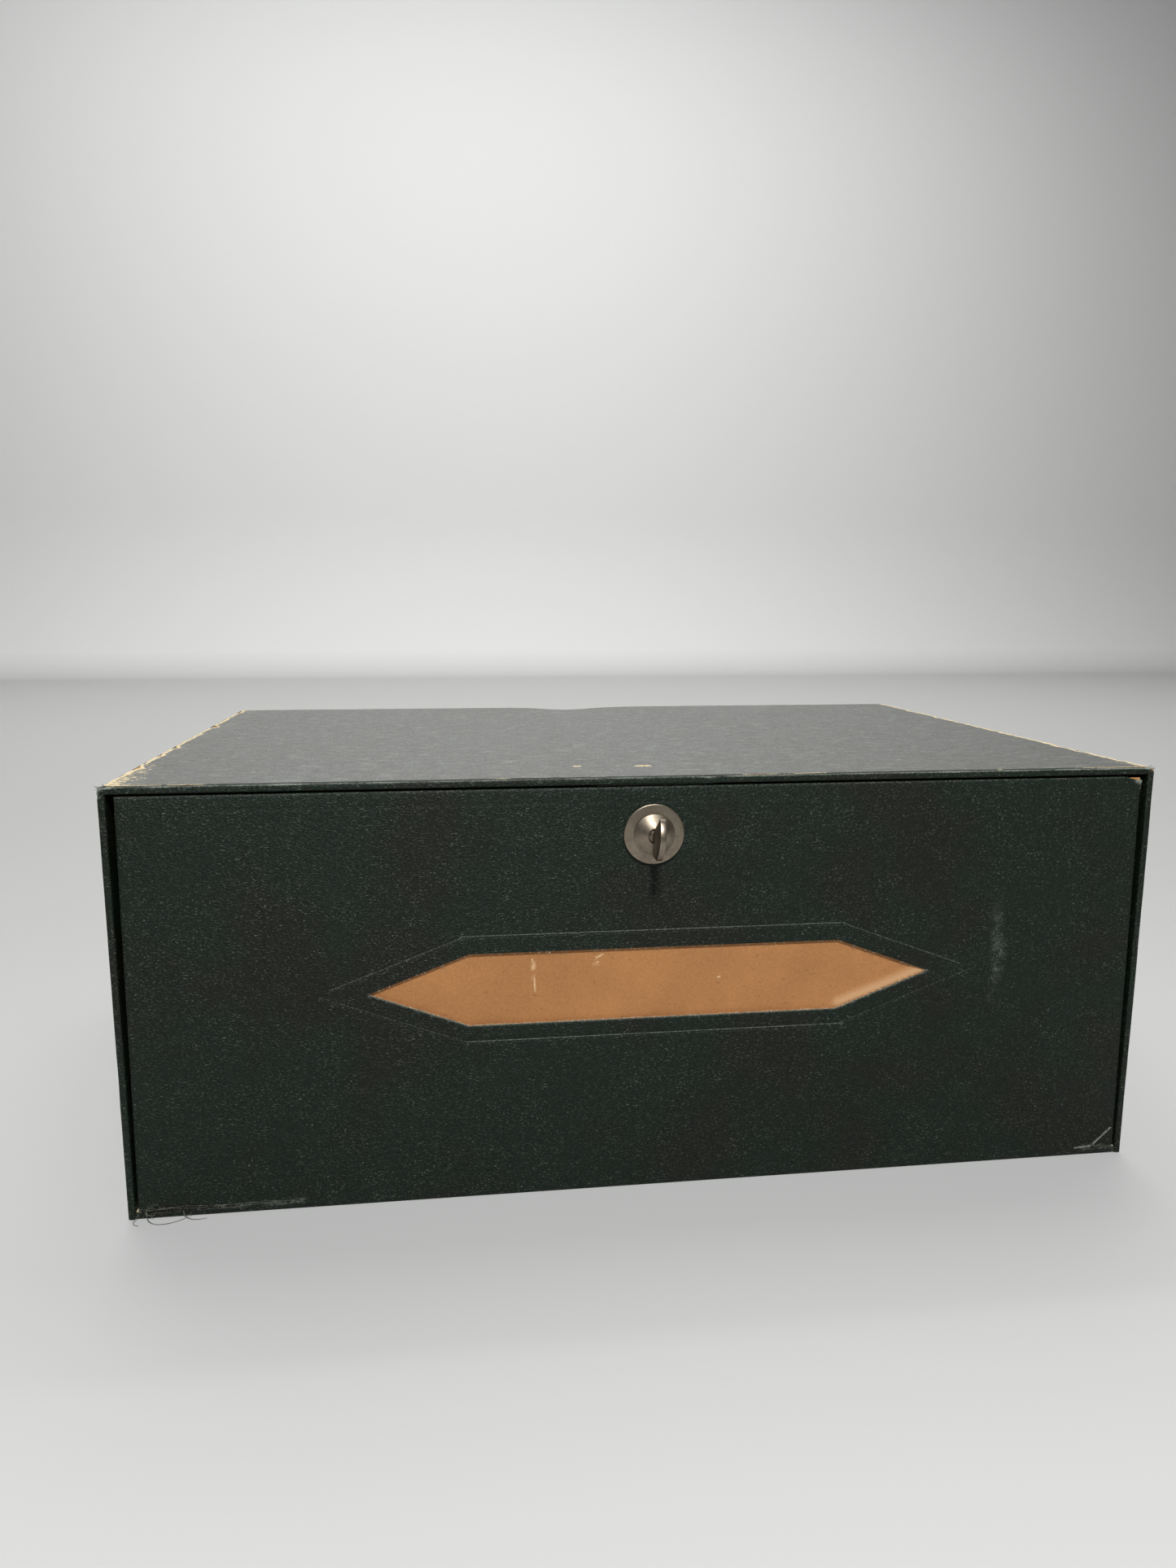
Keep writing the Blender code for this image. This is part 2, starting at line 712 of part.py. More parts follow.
def make_blade():
    """The thumb blade, a flat plate: a round outer edge, a raked top flank and a square heel."""
    neck = COLLAR_OUT + COLLAR_HEIGHT + LATCH_GAP
    root = COLLAR_OUT + COLLAR_HEIGHT - TENON_DEPTH
    middle = (BLADE_REACH - BLADE_ARC_RADIUS, BLADE_ARC_RADIUS * 0.04)
    heel = neck + BLADE_HEEL_RADIUS
    outline = [
        (root, -TENON_HALF),
        (neck, -TENON_HALF),
        *arc((heel, -BLADE_DROP + BLADE_HEEL_RADIUS), BLADE_HEEL_RADIUS, 180, 270, 4),
        *arc(middle, BLADE_ARC_RADIUS, BLADE_ARC_FOOT_DEG, BLADE_ARC_TOP_DEG, 16),
        (neck, TENON_HALF),
        (root, TENON_HALF),
    ]
    half = BLADE_THICK / 2
    blade = add_plate("thumb_blade", [outline], -half, half, NICKEL, TURNING_FRAME)
    blade.rotation_euler.y = math.radians(-90)
    round_edges(blade, 0.00025)


def make_tongue():
    """The flat tongue on the spindle's square, with the spring washer before it and the nut behind."""
    half = TONGUE_WIDTH / 2
    tip = TONGUE_REACH - half
    eye_join = math.degrees(math.asin(half / TONGUE_EYE_RADIUS))
    edge = [
        *arc((tip, 0), half, -90, 90, 12),
        *arc((0, 0), TONGUE_EYE_RADIUS, eye_join, 360 - eye_join, 24),
    ]
    keyhole = SPINDLE_SQUARE / 2 + LATCH_GAP
    hole = [(-keyhole, -keyhole), (keyhole, -keyhole), (keyhole, keyhole), (-keyhole, keyhole)]
    add_plate("latch_tongue", [edge, hole], TONGUE_IN, TONGUE_OUT, STEEL, TURNING_FRAME)

    cone_low = SPRING_IN + SPRING_THICK
    ring = [
        (BORE_RADIUS, SPRING_OUT),
        (SPRING_RADIUS, cone_low),
        (SPRING_RADIUS, SPRING_IN),
        (BORE_RADIUS, SPRING_OUT - SPRING_THICK),
    ]
    washer = add_turned("spring_washer", ring, STEEL, TURNING_FRAME, ring=True)
    shade_round(washer)

    corner = NUT_ACROSS / 2 / math.cos(math.radians(30))
    hexagon = arc((0, 0), corner, 0, 300, 5)
    bore = arc((0, 0), STUB_RADIUS + LATCH_GAP, 0, 360 - 360 / ROUND_STEPS, ROUND_STEPS - 1)
    add_plate("spindle_nut", [hexagon, bore], NUT_IN, NUT_OUT, STEEL, TURNING_FRAME)


clear_scene()
BOX_PARTS = new_collection("document_box")
CUTTERS = new_collection("cutters")
GREYBOARD = new_material("greyboard", (0.45, 0.30, 0.16), 0.9)
GREEN_CLOTH = new_material("green_grained_cloth", (0.013, 0.022, 0.019), 0.55)
GREEN_PAPER = new_material("green_glazed_paper", (0.045, 0.055, 0.055), 0.4)
LINING_PAPER = new_material("lining_paper", (0.62, 0.55, 0.42), 0.85)
TAPE = new_material("linen_tape", (0.50, 0.42, 0.30), 0.9)
KRAFT_CARD = new_material("kraft_card", (0.40, 0.21, 0.09), 0.85)
NICKEL = new_material("nickel", (0.52, 0.48, 0.43), 0.32, 1.0)
STEEL = new_material("bright_steel", (0.45, 0.45, 0.44), 0.38, 1.0)

HINGE_FRAME = add_frame("hinge_frame", (0, FRONT, HINGE_Z))
LATCH_FRAME = add_latch_frame("latch_frame", 0)
TURNING_FRAME = add_latch_frame("turning_frame", REST_TILT_DEG)

make_boards()
make_outer_cloths()
make_edge_binding()
make_linings()
make_keeper()
make_drop_front()
make_rosette()
make_backing_plate()
make_knob()
make_tongue()
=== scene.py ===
"""A drop-front document box: its cloth, papers, boards and latch, modelled over the fixed frame."""

import json
import math
import random

import bmesh
import bpy
from mathutils import Matrix, Vector, noise


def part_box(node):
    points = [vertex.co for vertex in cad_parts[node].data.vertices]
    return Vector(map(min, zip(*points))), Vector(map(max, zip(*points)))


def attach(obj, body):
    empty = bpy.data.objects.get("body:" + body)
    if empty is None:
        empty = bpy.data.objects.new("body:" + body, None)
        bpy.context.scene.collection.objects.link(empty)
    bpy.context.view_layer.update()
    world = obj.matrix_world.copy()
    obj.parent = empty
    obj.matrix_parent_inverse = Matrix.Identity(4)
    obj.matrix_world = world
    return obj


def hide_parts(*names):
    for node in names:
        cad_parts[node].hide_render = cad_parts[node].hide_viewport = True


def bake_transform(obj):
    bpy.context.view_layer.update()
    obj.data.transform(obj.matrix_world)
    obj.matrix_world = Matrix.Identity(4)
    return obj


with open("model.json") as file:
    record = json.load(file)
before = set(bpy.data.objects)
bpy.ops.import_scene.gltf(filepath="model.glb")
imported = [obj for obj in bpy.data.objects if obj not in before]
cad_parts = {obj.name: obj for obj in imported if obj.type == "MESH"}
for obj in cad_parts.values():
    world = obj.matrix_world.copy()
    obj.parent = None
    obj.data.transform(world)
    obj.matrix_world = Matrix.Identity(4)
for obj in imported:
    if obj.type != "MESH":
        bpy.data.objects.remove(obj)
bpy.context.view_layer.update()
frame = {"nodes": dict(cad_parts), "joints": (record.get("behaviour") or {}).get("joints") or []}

bl_info = {
    "name": "Document box",
    "version": (1, 0, 0),
    "blender": (4, 5, 0),
    "location": "View3D > Sidebar > Document box",
    "description": "Models a cloth-covered document box with a drop front, piece by piece",
    "category": "Add Mesh",
}

MM = 0.001

# Where the frame's pieces are
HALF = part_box("side_wrap_cloth")[1].x
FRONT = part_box("edge_binding_cloth")[0].y
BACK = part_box("side_wrap_cloth")[1].y
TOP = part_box("top_cover_sheet")[1].z
BOUND_WALL_OUT = max(
    v.co.x for v in frame["nodes"]["edge_binding_cloth"].data.vertices if v.co.y > FRONT + 8 * MM
)
BOUND_WALL = HALF - BOUND_WALL_OUT + 0.3 * MM
WRAP_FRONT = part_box("side_wrap_cloth")[0].y
FLAP_LOW, FLAP_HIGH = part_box("flap_cover_cloth")[0].z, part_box("flap_cover_cloth")[1].z
FLAP_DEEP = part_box("flap_cover_cloth")[1].y - FRONT
FLAP_FOOT_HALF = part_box("flap_cover_cloth")[1].x
FLAP_TOP_HALF = max(
    v.co.x for v in frame["nodes"]["flap_cover_cloth"].data.vertices if v.co.z > FLAP_HIGH - 0.01 * MM
)
HINGE_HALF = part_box("hinge_cloth")[1].x
SPINDLE = Vector(frame["joints"][1]["pos_m"])
CARD_LOW, CARD_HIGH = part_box("label_card")


def linear(hex_colour):
    """The linear red, green and blue of an sRGB hex colour."""
    parts = [int(hex_colour[i : i + 2], 16) / 255 for i in (1, 3, 5)]
    return tuple(c / 12.92 if c <= 0.04045 else ((c + 0.055) / 1.055) ** 2.4 for c in parts)


def length(name, about, default, top):
    return bpy.props.FloatProperty(
        name=name,
        description=about,
        default=default,
        min=0,
        max=top,
        subtype="DISTANCE",
        unit="LENGTH",
        precision=5,
    )


def colour(name, about, hex_colour):
    return bpy.props.FloatVectorProperty(
        name=name, description=about, default=linear(hex_colour), size=3, min=0, max=1, subtype="COLOR"
    )


class DocumentBoxSizes(bpy.types.PropertyGroup):
    cloth: length("Cloth thickness", "Thickness of the grained cloth", 0.3 * MM, 0.001)
    paper: length("Paper thickness", "Thickness of the lining paper", 0.16 * MM, 0.001)
    arris: length("Arris radius", "How round the cloth lies over a board's edge", 1.0 * MM, 0.003)
    turn_in: length("Turn-in", "Width of cloth turned in behind the drop front", 10 * MM, 0.03)
    window_margin: length("Card margin", "How far the card reaches past the window", 6 * MM, 0.02)
    window_straight: length("Window straight", "Length of the window's straight edges", 136.6 * MM, 0.3)
    tooling_out: length("Tooling distance", "From the window's edge to the tooled line", 6.3 * MM, 0.02)
    tooling_width: length("Tooling width", "Half width of a tooled line", 0.4 * MM, 0.002)
    tooling_deep: length("Tooling depth", "Depth of a tooled line", 0.2 * MM, 0.001)
    sag: length("Top sag", "How far the top is crushed at its back edge", 1.5 * MM, 0.0015)
    tear: length("Tear", "Deepest loss of the top sheet along its side edges", 4.0 * MM, 0.01)


class DocumentBoxColours(bpy.types.PropertyGroup):
    cloth: colour("Cloth", "The cloth's main colour", "#101d13")
    cloth_brown: colour("Browned cloth", "Cloth that handling has browned", "#161810")
    # Also painted highlight: the drop front's tooled lines are painted pale with this colour.
    rubbed_and_highlight_cloth: colour("Rubbed cloth", "Cloth with its coating rubbed off", "#7f857c")
    # A grey lighter than the paper's own dark green: partly dust, partly painted sheen standing in for the
    # top's reflection.
    top_paper: colour("Top paper", "The glazed paper on the top", "#53544f")
    paper_core: colour("Paper core", "The top paper where it is torn", "#dccaa2")
    board: colour("Board", "The pulp board", "#b98a59")
    card: colour("Card", "The kraft card in the window", "#b17b49")
    lining: colour("Lining", "The lining paper", "#cfc4aa")
    tape: colour("Tape", "The linen tape in the corners", "#a8987a")
    thread: colour("Thread", "Frayed cotton threads", "#6f7165")
    nickel: colour("Nickel", "The plated thumb-turn", "#8e8374")
    steel: colour("Steel", "The steel behind the front", "#a5a6a6")


def sizes():
    return bpy.context.scene.document_box_sizes


def colours():
    return bpy.context.scene.document_box_colours


# ---- Making a piece -----------------------------------------------------------------------


def choose(piece):
    """Makes piece the only selected object, and the active one."""
    if bpy.context.object and bpy.context.object.mode != "OBJECT":
        bpy.ops.object.mode_set(mode="OBJECT")
    bpy.ops.object.select_all(action="DESELECT")
    piece.select_set(True)
    bpy.context.view_layer.objects.active = piece


def lay_grid(name, columns, rows, place):
    """A grid whose points are laid by place, which takes how far across and up each one is."""
    bpy.ops.object.select_all(action="DESELECT")
    bpy.ops.mesh.primitive_grid_add(x_subdivisions=columns, y_subdivisions=rows, size=1)
    piece = bpy.context.object
    piece.name = piece.data.name = name
    for vert in piece.data.vertices:
        vert.co = place(vert.co.x + 0.5, vert.co.y + 0.5)
    return piece


def pick_faces(piece, chosen):
    """Goes into edit mode with the faces selected whose middle chosen says yes to."""
    choose(piece)
    bpy.ops.object.mode_set(mode="EDIT")
    bpy.context.tool_settings.mesh_select_mode = (False, False, True)
    bpy.ops.mesh.select_all(action="DESELECT")
    bm = bmesh.from_edit_mesh(piece.data)
    for face in bm.faces:
        face.select_set(bool(chosen(face.calc_center_median())))
    bmesh.update_edit_mesh(piece.data)


def refine(piece, chosen, cuts):
    pick_faces(piece, chosen)
    bpy.ops.mesh.subdivide(number_cuts=cuts)
    bpy.ops.object.mode_set(mode="OBJECT")


def tear_out(piece, chosen):
    pick_faces(piece, chosen)
    bpy.ops.mesh.delete(type="FACE")
    bpy.ops.object.mode_set(mode="OBJECT")


def extrude_rim(piece, on_rim, stations):
    """Extrudes the open edges that on_rim picks, once for each station, which places their points."""
    choose(piece)
    bpy.ops.object.mode_set(mode="EDIT")
    bpy.context.tool_settings.mesh_select_mode = (False, True, False)
    bpy.ops.mesh.select_all(action="DESELECT")
    bm = bmesh.from_edit_mesh(piece.data)
    for edge in bm.edges:
        if edge.is_boundary and all(on_rim(vert.co) for vert in edge.verts):
            edge.select_set(True)
    for station in stations:
        bpy.ops.mesh.extrude_region_move()
        bm = bmesh.from_edit_mesh(piece.data)
        for vert in bm.verts:
            if vert.select:
                vert.co = station(vert.co)
        bmesh.update_edit_mesh(piece.data)
    bpy.ops.object.mode_set(mode="OBJECT")


def move_points(piece, shift):
    """Adds shift(point) to every point."""
    for vert in piece.data.vertices:
        vert.co += shift(vert.co)


def apply_modifier(piece, kind, **settings):
    choose(piece)
    step = piece.modifiers.new(kind.lower(), kind)
    for name, value in settings.items():
        setattr(step, name, value)
    bpy.ops.object.modifier_apply(modifier=step.name)


def thicken(piece, thickness):
    apply_modifier(piece, "SOLIDIFY", thickness=thickness, offset=-1.0)


def ease_edges(piece, width, segments, angle):
    """Rounds the edges that are sharper than angle, in degrees."""
    limit = math.radians(angle)
    apply_modifier(piece, "BEVEL", width=width, segments=segments, limit_method="ANGLE", angle_limit=limit)


def rub(piece, amount):
    """Stores a mask from 0 to 1 at each point for the material to read: how rubbed or torn it is, and on
    the drop front and the card also painted highlights.
    """
    layer = piece.data.attributes.new("rubbed", "FLOAT", "POINT")
    layer.data.foreach_set("value", [amount(vert.co) for vert in piece.data.vertices])


def place_piece(piece, material, slot, body, *replaced):
    """Gives a finished piece its material and its body, and says which nodes it stands for."""
    choose(piece)
    bpy.ops.object.transform_apply(location=True, rotation=True, scale=True)
    bpy.ops.object.shade_smooth_by_angle(angle=math.radians(40))
    piece.data.materials.clear()
    piece.data.materials.append(material)
    if body:
        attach(piece, body)
    if replaced:
        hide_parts(*replaced)
    return piece


def soft_noise(point, size, seed=0.0):
    """Smooth noise from -1 to 1 whose hills are about size apart."""
    return noise.noise(Vector(point) / size + Vector((seed, seed * 0.7, -seed)))


def falloff(distance, reach):
    """1 at distance 0, and smoothly down to 0 at reach."""
    share = min(max(1 - abs(distance) / reach, 0), 1)
    return share * share * (3 - 2 * share)


def line_distance(x, z, line):
    """How far a point of the front is from a line between two points of it."""
    (x0, z0), (x1, z1) = line
    along = ((x - x0) * (x1 - x0) + (z - z0) * (z1 - z0)) / ((x1 - x0) ** 2 + (z1 - z0) ** 2)
    along = min(max(along, 0), 1)
    return math.hypot(x - x0 - along * (x1 - x0), z - z0 - along * (z1 - z0))


def top_sag(point):
    """How far the top is crushed down at a point, in a dip in its back edge."""
    across = (point.x + 5 * MM) / (18 * MM)
    return sizes().sag * math.exp(-across * across) * falloff(BACK - point.y, 60 * MM)


def make_fibres(name, strands, radius):
    """One mesh of thin strands, each a list of points."""
    curve = bpy.data.curves.new(name, "CURVE")
    curve.dimensions = "3D"
    curve.bevel_depth = radius
    curve.bevel_resolution = 0
    curve.use_fill_caps = True
    for strand in strands:
        spline = curve.splines.new("POLY")
        spline.points.add(len(strand) - 1)
        for number, (point, place) in enumerate(zip(spline.points, strand)):
            point.co = (*place, 1)
            point.radius = 1.0 - 0.55 * number / (len(strand) - 1)
    piece = bpy.data.objects.new(name, curve)
    bpy.context.scene.collection.objects.link(piece)
    choose(piece)
    bpy.ops.object.convert(target="MESH")
    return bpy.context.object


# ---- Materials ----------------------------------------------------------------------------


def add_node(tree, kind, values=(), **settings):
    """Adds a node. values gives its inputs a number, a colour or another node's output."""
    node = tree.nodes.new("ShaderNode" + kind)
    for name, value in settings.items():
        setattr(node, name, value)
    for name, value in dict(values).items():
        if isinstance(value, bpy.types.NodeSocket):
            tree.links.new(value, node.inputs[name])
        else:
            node.inputs[name].default_value = value
    return node


def start_material(name, roughness=0.5, metallic=0.0):
    """(material, node tree, shader, position in millimetres)"""
    material = bpy.data.materials.new(name)
    material.use_nodes = True
    tree = material.node_tree
    shader = tree.nodes["Principled BSDF"]
    shader.inputs["Roughness"].default_value = roughness
    shader.inputs["Metallic"].default_value = metallic
    where = add_node(tree, "TexCoord").outputs["Object"]
    millimetres = add_node(tree, "VectorMath", {0: where, "Scale": 1000.0}, operation="SCALE").outputs[0]
    return material, tree, shader, millimetres


def rgba(tone):
    """The four numbers of a colour socket, from a linear colour or an sRGB hex colour."""
    return (*(linear(tone) if isinstance(tone, str) else tone), 1.0)


def grained_bookcloth():
    """Cotton bookcloth, dyed green, coated and embossed between rollers: dark, with a fine lying grain
    whose crests glint, with painted glints on the crests and painted shade in the valleys;
    browned where it was handled, thread showing through where it is rubbed, and painted highlights along
    the tooled lines."""
    material, tree, shader, mm = start_material("Embossed bookcloth")
    lying = add_node(tree, "Mapping", {"Vector": mm, "Scale": (1.15, 1.15, 2.1)}).outputs[0]
    height = add_node(
        tree,
        "TexNoise",
        {"Vector": lying, "Scale": 1.0, "Detail": 1.5, "Roughness": 0.55, "Distortion": 0.5},
    ).outputs[0]

    broad = add_node(
        tree, "TexNoise", {"Vector": mm, "Scale": 0.016, "Detail": 3.0, "Roughness": 0.6}
    ).outputs[0]
    browned = add_node(
        tree, "MapRange", {0: broad, 1: 0.42, 2: 0.66}, interpolation_type="SMOOTHSTEP"
    ).outputs[0]
    ground = add_node(
        tree,
        "Mix",
        {0: browned, 6: rgba(colours().cloth), 7: rgba(colours().cloth_brown)},
        data_type="RGBA",
    ).outputs[2]
    # Painted glints: the grain's crests are mixed toward a pale colour, more strongly in some places than
    # others.
    glint_patches = add_node(
        tree, "TexNoise", {"Vector": mm, "Scale": 0.09, "Detail": 3.0, "Roughness": 0.6}
    ).outputs[0]
    glint_density = add_node(tree, "MapRange", {0: glint_patches, 1: 0.36, 2: 0.66, 3: 0.15, 4: 0.6}).outputs[0]
    crest_glint = add_node(tree, "MapRange", {0: height, 1: 0.6, 2: 0.74}).outputs[0]
    glint_share = add_node(tree, "Math", {0: crest_glint, 1: glint_density}, operation="MULTIPLY").outputs[0]
    with_painted_glints = add_node(tree, "Mix", {0: glint_share, 6: ground, 7: rgba("#6b7166")}, data_type="RGBA").outputs[2]
    # Painted shade: the grain's valleys are darkened toward near-black.
    painted_valley_shade = add_node(tree, "MapRange", {0: height, 1: 0.34, 2: 0.52, 3: 0.7, 4: 0.0}).outputs[0]
    toned = add_node(tree, "Mix", {0: painted_valley_shade, 6: with_painted_glints, 7: rgba("#080d0a")}, data_type="RGBA").outputs[2]

    # This wear mask also holds painted highlights along the drop front's tooled lines, so the rubbed colour
    # paints both wear and highlight.
    rubbed = add_node(tree, "Attribute", attribute_name="rubbed").outputs["Fac"]
    fine = add_node(
        tree, "TexNoise", {"Vector": mm, "Scale": 1.9, "Detail": 3.0, "Roughness": 0.7}
    ).outputs[0]
    worn = add_node(tree, "Math", {0: rubbed, 1: fine}, operation="ADD").outputs[0]
    bare_and_highlight = add_node(
        tree, "MapRange", {0: worn, 1: 0.8, 2: 1.35}, interpolation_type="SMOOTHSTEP"
    ).outputs[0]
    with_wear_and_highlight = add_node(
        tree, "Mix", {0: bare_and_highlight, 6: toned, 7: rgba(colours().rubbed_and_highlight_cloth)}, data_type="RGBA"
    ).outputs[2]

    # Dust: a fleck of about 0.5 mm in one in five cells of 22 mm
    flecks = add_node(tree, "TexVoronoi", {"Vector": mm, "Scale": 1 / 22, "Randomness": 1.0})
    near = add_node(tree, "MapRange", {0: flecks.outputs["Distance"], 1: 0.019, 2: 0.011}).outputs[0]
    some = add_node(tree, "Math", {0: flecks.outputs["Color"], 1: 0.5}, operation="GREATER_THAN").outputs[0]
    fleck = add_node(tree, "Math", {0: near, 1: some}, operation="MULTIPLY").outputs[0]
    coloured = add_node(
        tree, "Mix", {0: fleck, 6: with_wear_and_highlight, 7: rgba("#cfd0c6")}, data_type="RGBA"
    ).outputs[2]
    tree.links.new(coloured, shader.inputs["Base Color"])

    gloss = add_node(tree, "MapRange", {0: height, 1: 0.42, 2: 0.66, 3: 0.56, 4: 0.26}).outputs[0]
    dulled = add_node(tree, "Mix", {0: bare_and_highlight, 2: gloss, 3: 0.92}, data_type="FLOAT").outputs[0]
    tree.links.new(dulled, shader.inputs["Roughness"])
    bump = add_node(tree, "Bump", {"Height": height, "Strength": 1.0, "Distance": 0.0005}).outputs[0]
    shader.inputs["Specular IOR Level"].default_value = 0.2
    tree.links.new(bump, shader.inputs["Normal"])
    return material


def glazed_paper():
    """Dark green paper, glazed by burnishing and pasted over the top: a low sheen along fine creases,
    partly painted as paler ridges, a grey ground lightened partly as painted sheen and partly by dust,
    scuffed paler, and torn at its edges to a cream core."""
    material, tree, shader, mm = start_material("Glazed cover paper")
    lying = add_node(tree, "Mapping", {"Vector": mm, "Scale": (0.3, 0.55, 1.0)}).outputs[0]
    crease = add_node(
        tree,
        "TexNoise",
        {"Vector": lying, "Scale": 0.8, "Detail": 5.0, "Roughness": 0.68, "Distortion": 1.2},
    ).outputs[0]
    short = add_node(tree, "Mapping", {"Vector": mm, "Scale": (1.0, 0.4, 1.0)}).outputs[0]
    grain = add_node(
        tree, "TexNoise", {"Vector": short, "Scale": 1.0, "Detail": 3.0, "Roughness": 0.7}
    ).outputs[0]
    height = add_node(tree, "Math", {0: crease, 1: 1.1, 2: grain}, operation="MULTIPLY_ADD").outputs[0]
    broad = add_node(
        tree, "TexNoise", {"Vector": mm, "Scale": 0.022, "Detail": 4.0, "Roughness": 0.6}
    ).outputs[0]
    dusty = add_node(tree, "MapRange", {0: broad, 1: 0.4, 2: 0.75, 3: 0.0, 4: 0.3}).outputs[0]
    ground = add_node(
        tree, "Mix", {0: dusty, 6: rgba(colours().top_paper), 7: rgba("#5d6161")}, data_type="RGBA"
    ).outputs[2]
    # Painted sheen: the crease ridges are painted paler.
    ridge_sheen = add_node(tree, "MapRange", {0: height, 1: 1.1, 2: 1.4, 3: 0.0, 4: 0.5}).outputs[0]
    with_ridge_sheen = add_node(tree, "Mix", {0: ridge_sheen, 6: ground, 7: rgba("#7d8181")}, data_type="RGBA").outputs[2]

    across = add_node(tree, "Mapping", {"Vector": mm, "Scale": (0.13, 0.2, 1.0)}).outputs[0]
    handled = add_node(
        tree, "TexNoise", {"Vector": across, "Scale": 1.0, "Detail": 6.0, "Roughness": 0.78}
    ).outputs[0]
    scuffs = add_node(tree, "MapRange", {0: handled, 1: 0.54, 2: 0.72, 3: 0.0, 4: 0.7}).outputs[0]
    scuffed = add_node(tree, "Mix", {0: scuffs, 6: with_ridge_sheen, 7: rgba("#969893")}, data_type="RGBA").outputs[2]
    cracks = add_node(tree, "MapRange", {0: handled, 1: 0.3, 2: 0.46, 3: 0.65, 4: 0.0}).outputs[0]
    cracked = add_node(
        tree, "Mix", {0: cracks, 6: scuffed, 7: rgba("#2c2e2b")}, data_type="RGBA"
    ).outputs[2]

    torn = add_node(tree, "Attribute", attribute_name="rubbed").outputs["Fac"]
    ragged = add_node(
        tree, "TexNoise", {"Vector": mm, "Scale": 0.55, "Detail": 4.0, "Roughness": 0.65}
    ).outputs[0]
    depth = add_node(tree, "Math", {0: torn, 1: ragged}, operation="ADD").outputs[0]
    core = add_node(tree, "MapRange", {0: depth, 1: 1.0, 2: 1.07}).outputs[0]
    cored = add_node(
        tree, "Mix", {0: core, 6: cracked, 7: rgba(colours().paper_core)}, data_type="RGBA"
    ).outputs[2]
    lost = add_node(tree, "MapRange", {0: depth, 1: 1.3, 2: 1.4}).outputs[0]
    boarded = add_node(
        tree, "Mix", {0: lost, 6: cored, 7: rgba(colours().board)}, data_type="RGBA"
    ).outputs[2]
    tree.links.new(boarded, shader.inputs["Base Color"])
    gloss = add_node(tree, "MapRange", {0: height, 1: 0.75, 2: 1.4, 3: 0.46, 4: 0.24}).outputs[0]
    dulled = add_node(tree, "Mix", {0: core, 2: gloss, 3: 0.9}, data_type="FLOAT").outputs[0]
    tree.links.new(dulled, shader.inputs["Roughness"])
    bump = add_node(tree, "Bump", {"Height": height, "Strength": 1.0, "Distance": 0.00016}).outputs[0]
    tree.links.new(bump, shader.inputs["Normal"])
    return material


def pulp_board():
    """Board pressed from straw pulp, cut raw: tan, dull and fibrous, with darker specks of straw."""
    material, tree, shader, mm = start_material("Pressed pulp board", 0.92)
    lying = add_node(tree, "Mapping", {"Vector": mm, "Scale": (0.5, 0.5, 3.0)}).outputs[0]
    fibre = add_node(
        tree, "TexNoise", {"Vector": lying, "Scale": 1.4, "Detail": 5.0, "Roughness": 0.7}
    ).outputs[0]
    straw = add_node(
        tree, "TexNoise", {"Vector": mm, "Scale": 2.4, "Detail": 2.0, "Distortion": 1.5}
    ).outputs[0]
    speck = add_node(tree, "MapRange", {0: straw, 1: 0.6, 2: 0.72, 3: 0.0, 4: 0.5}).outputs[0]
    tone = add_node(tree, "MapRange", {0: fibre, 1: 0.35, 2: 0.65}).outputs[0]
    ground = add_node(
        tree, "Mix", {0: tone, 6: rgba("#a3733f"), 7: rgba(colours().board)}, data_type="RGBA"
    ).outputs[2]
    specked = add_node(tree, "Mix", {0: speck, 6: ground, 7: rgba("#6f4d2c")}, data_type="RGBA").outputs[2]
    tree.links.new(specked, shader.inputs["Base Color"])
    bump = add_node(tree, "Bump", {"Height": fibre, "Strength": 0.9, "Distance": 0.00015}).outputs[0]
    tree.links.new(bump, shader.inputs["Normal"])
    return material


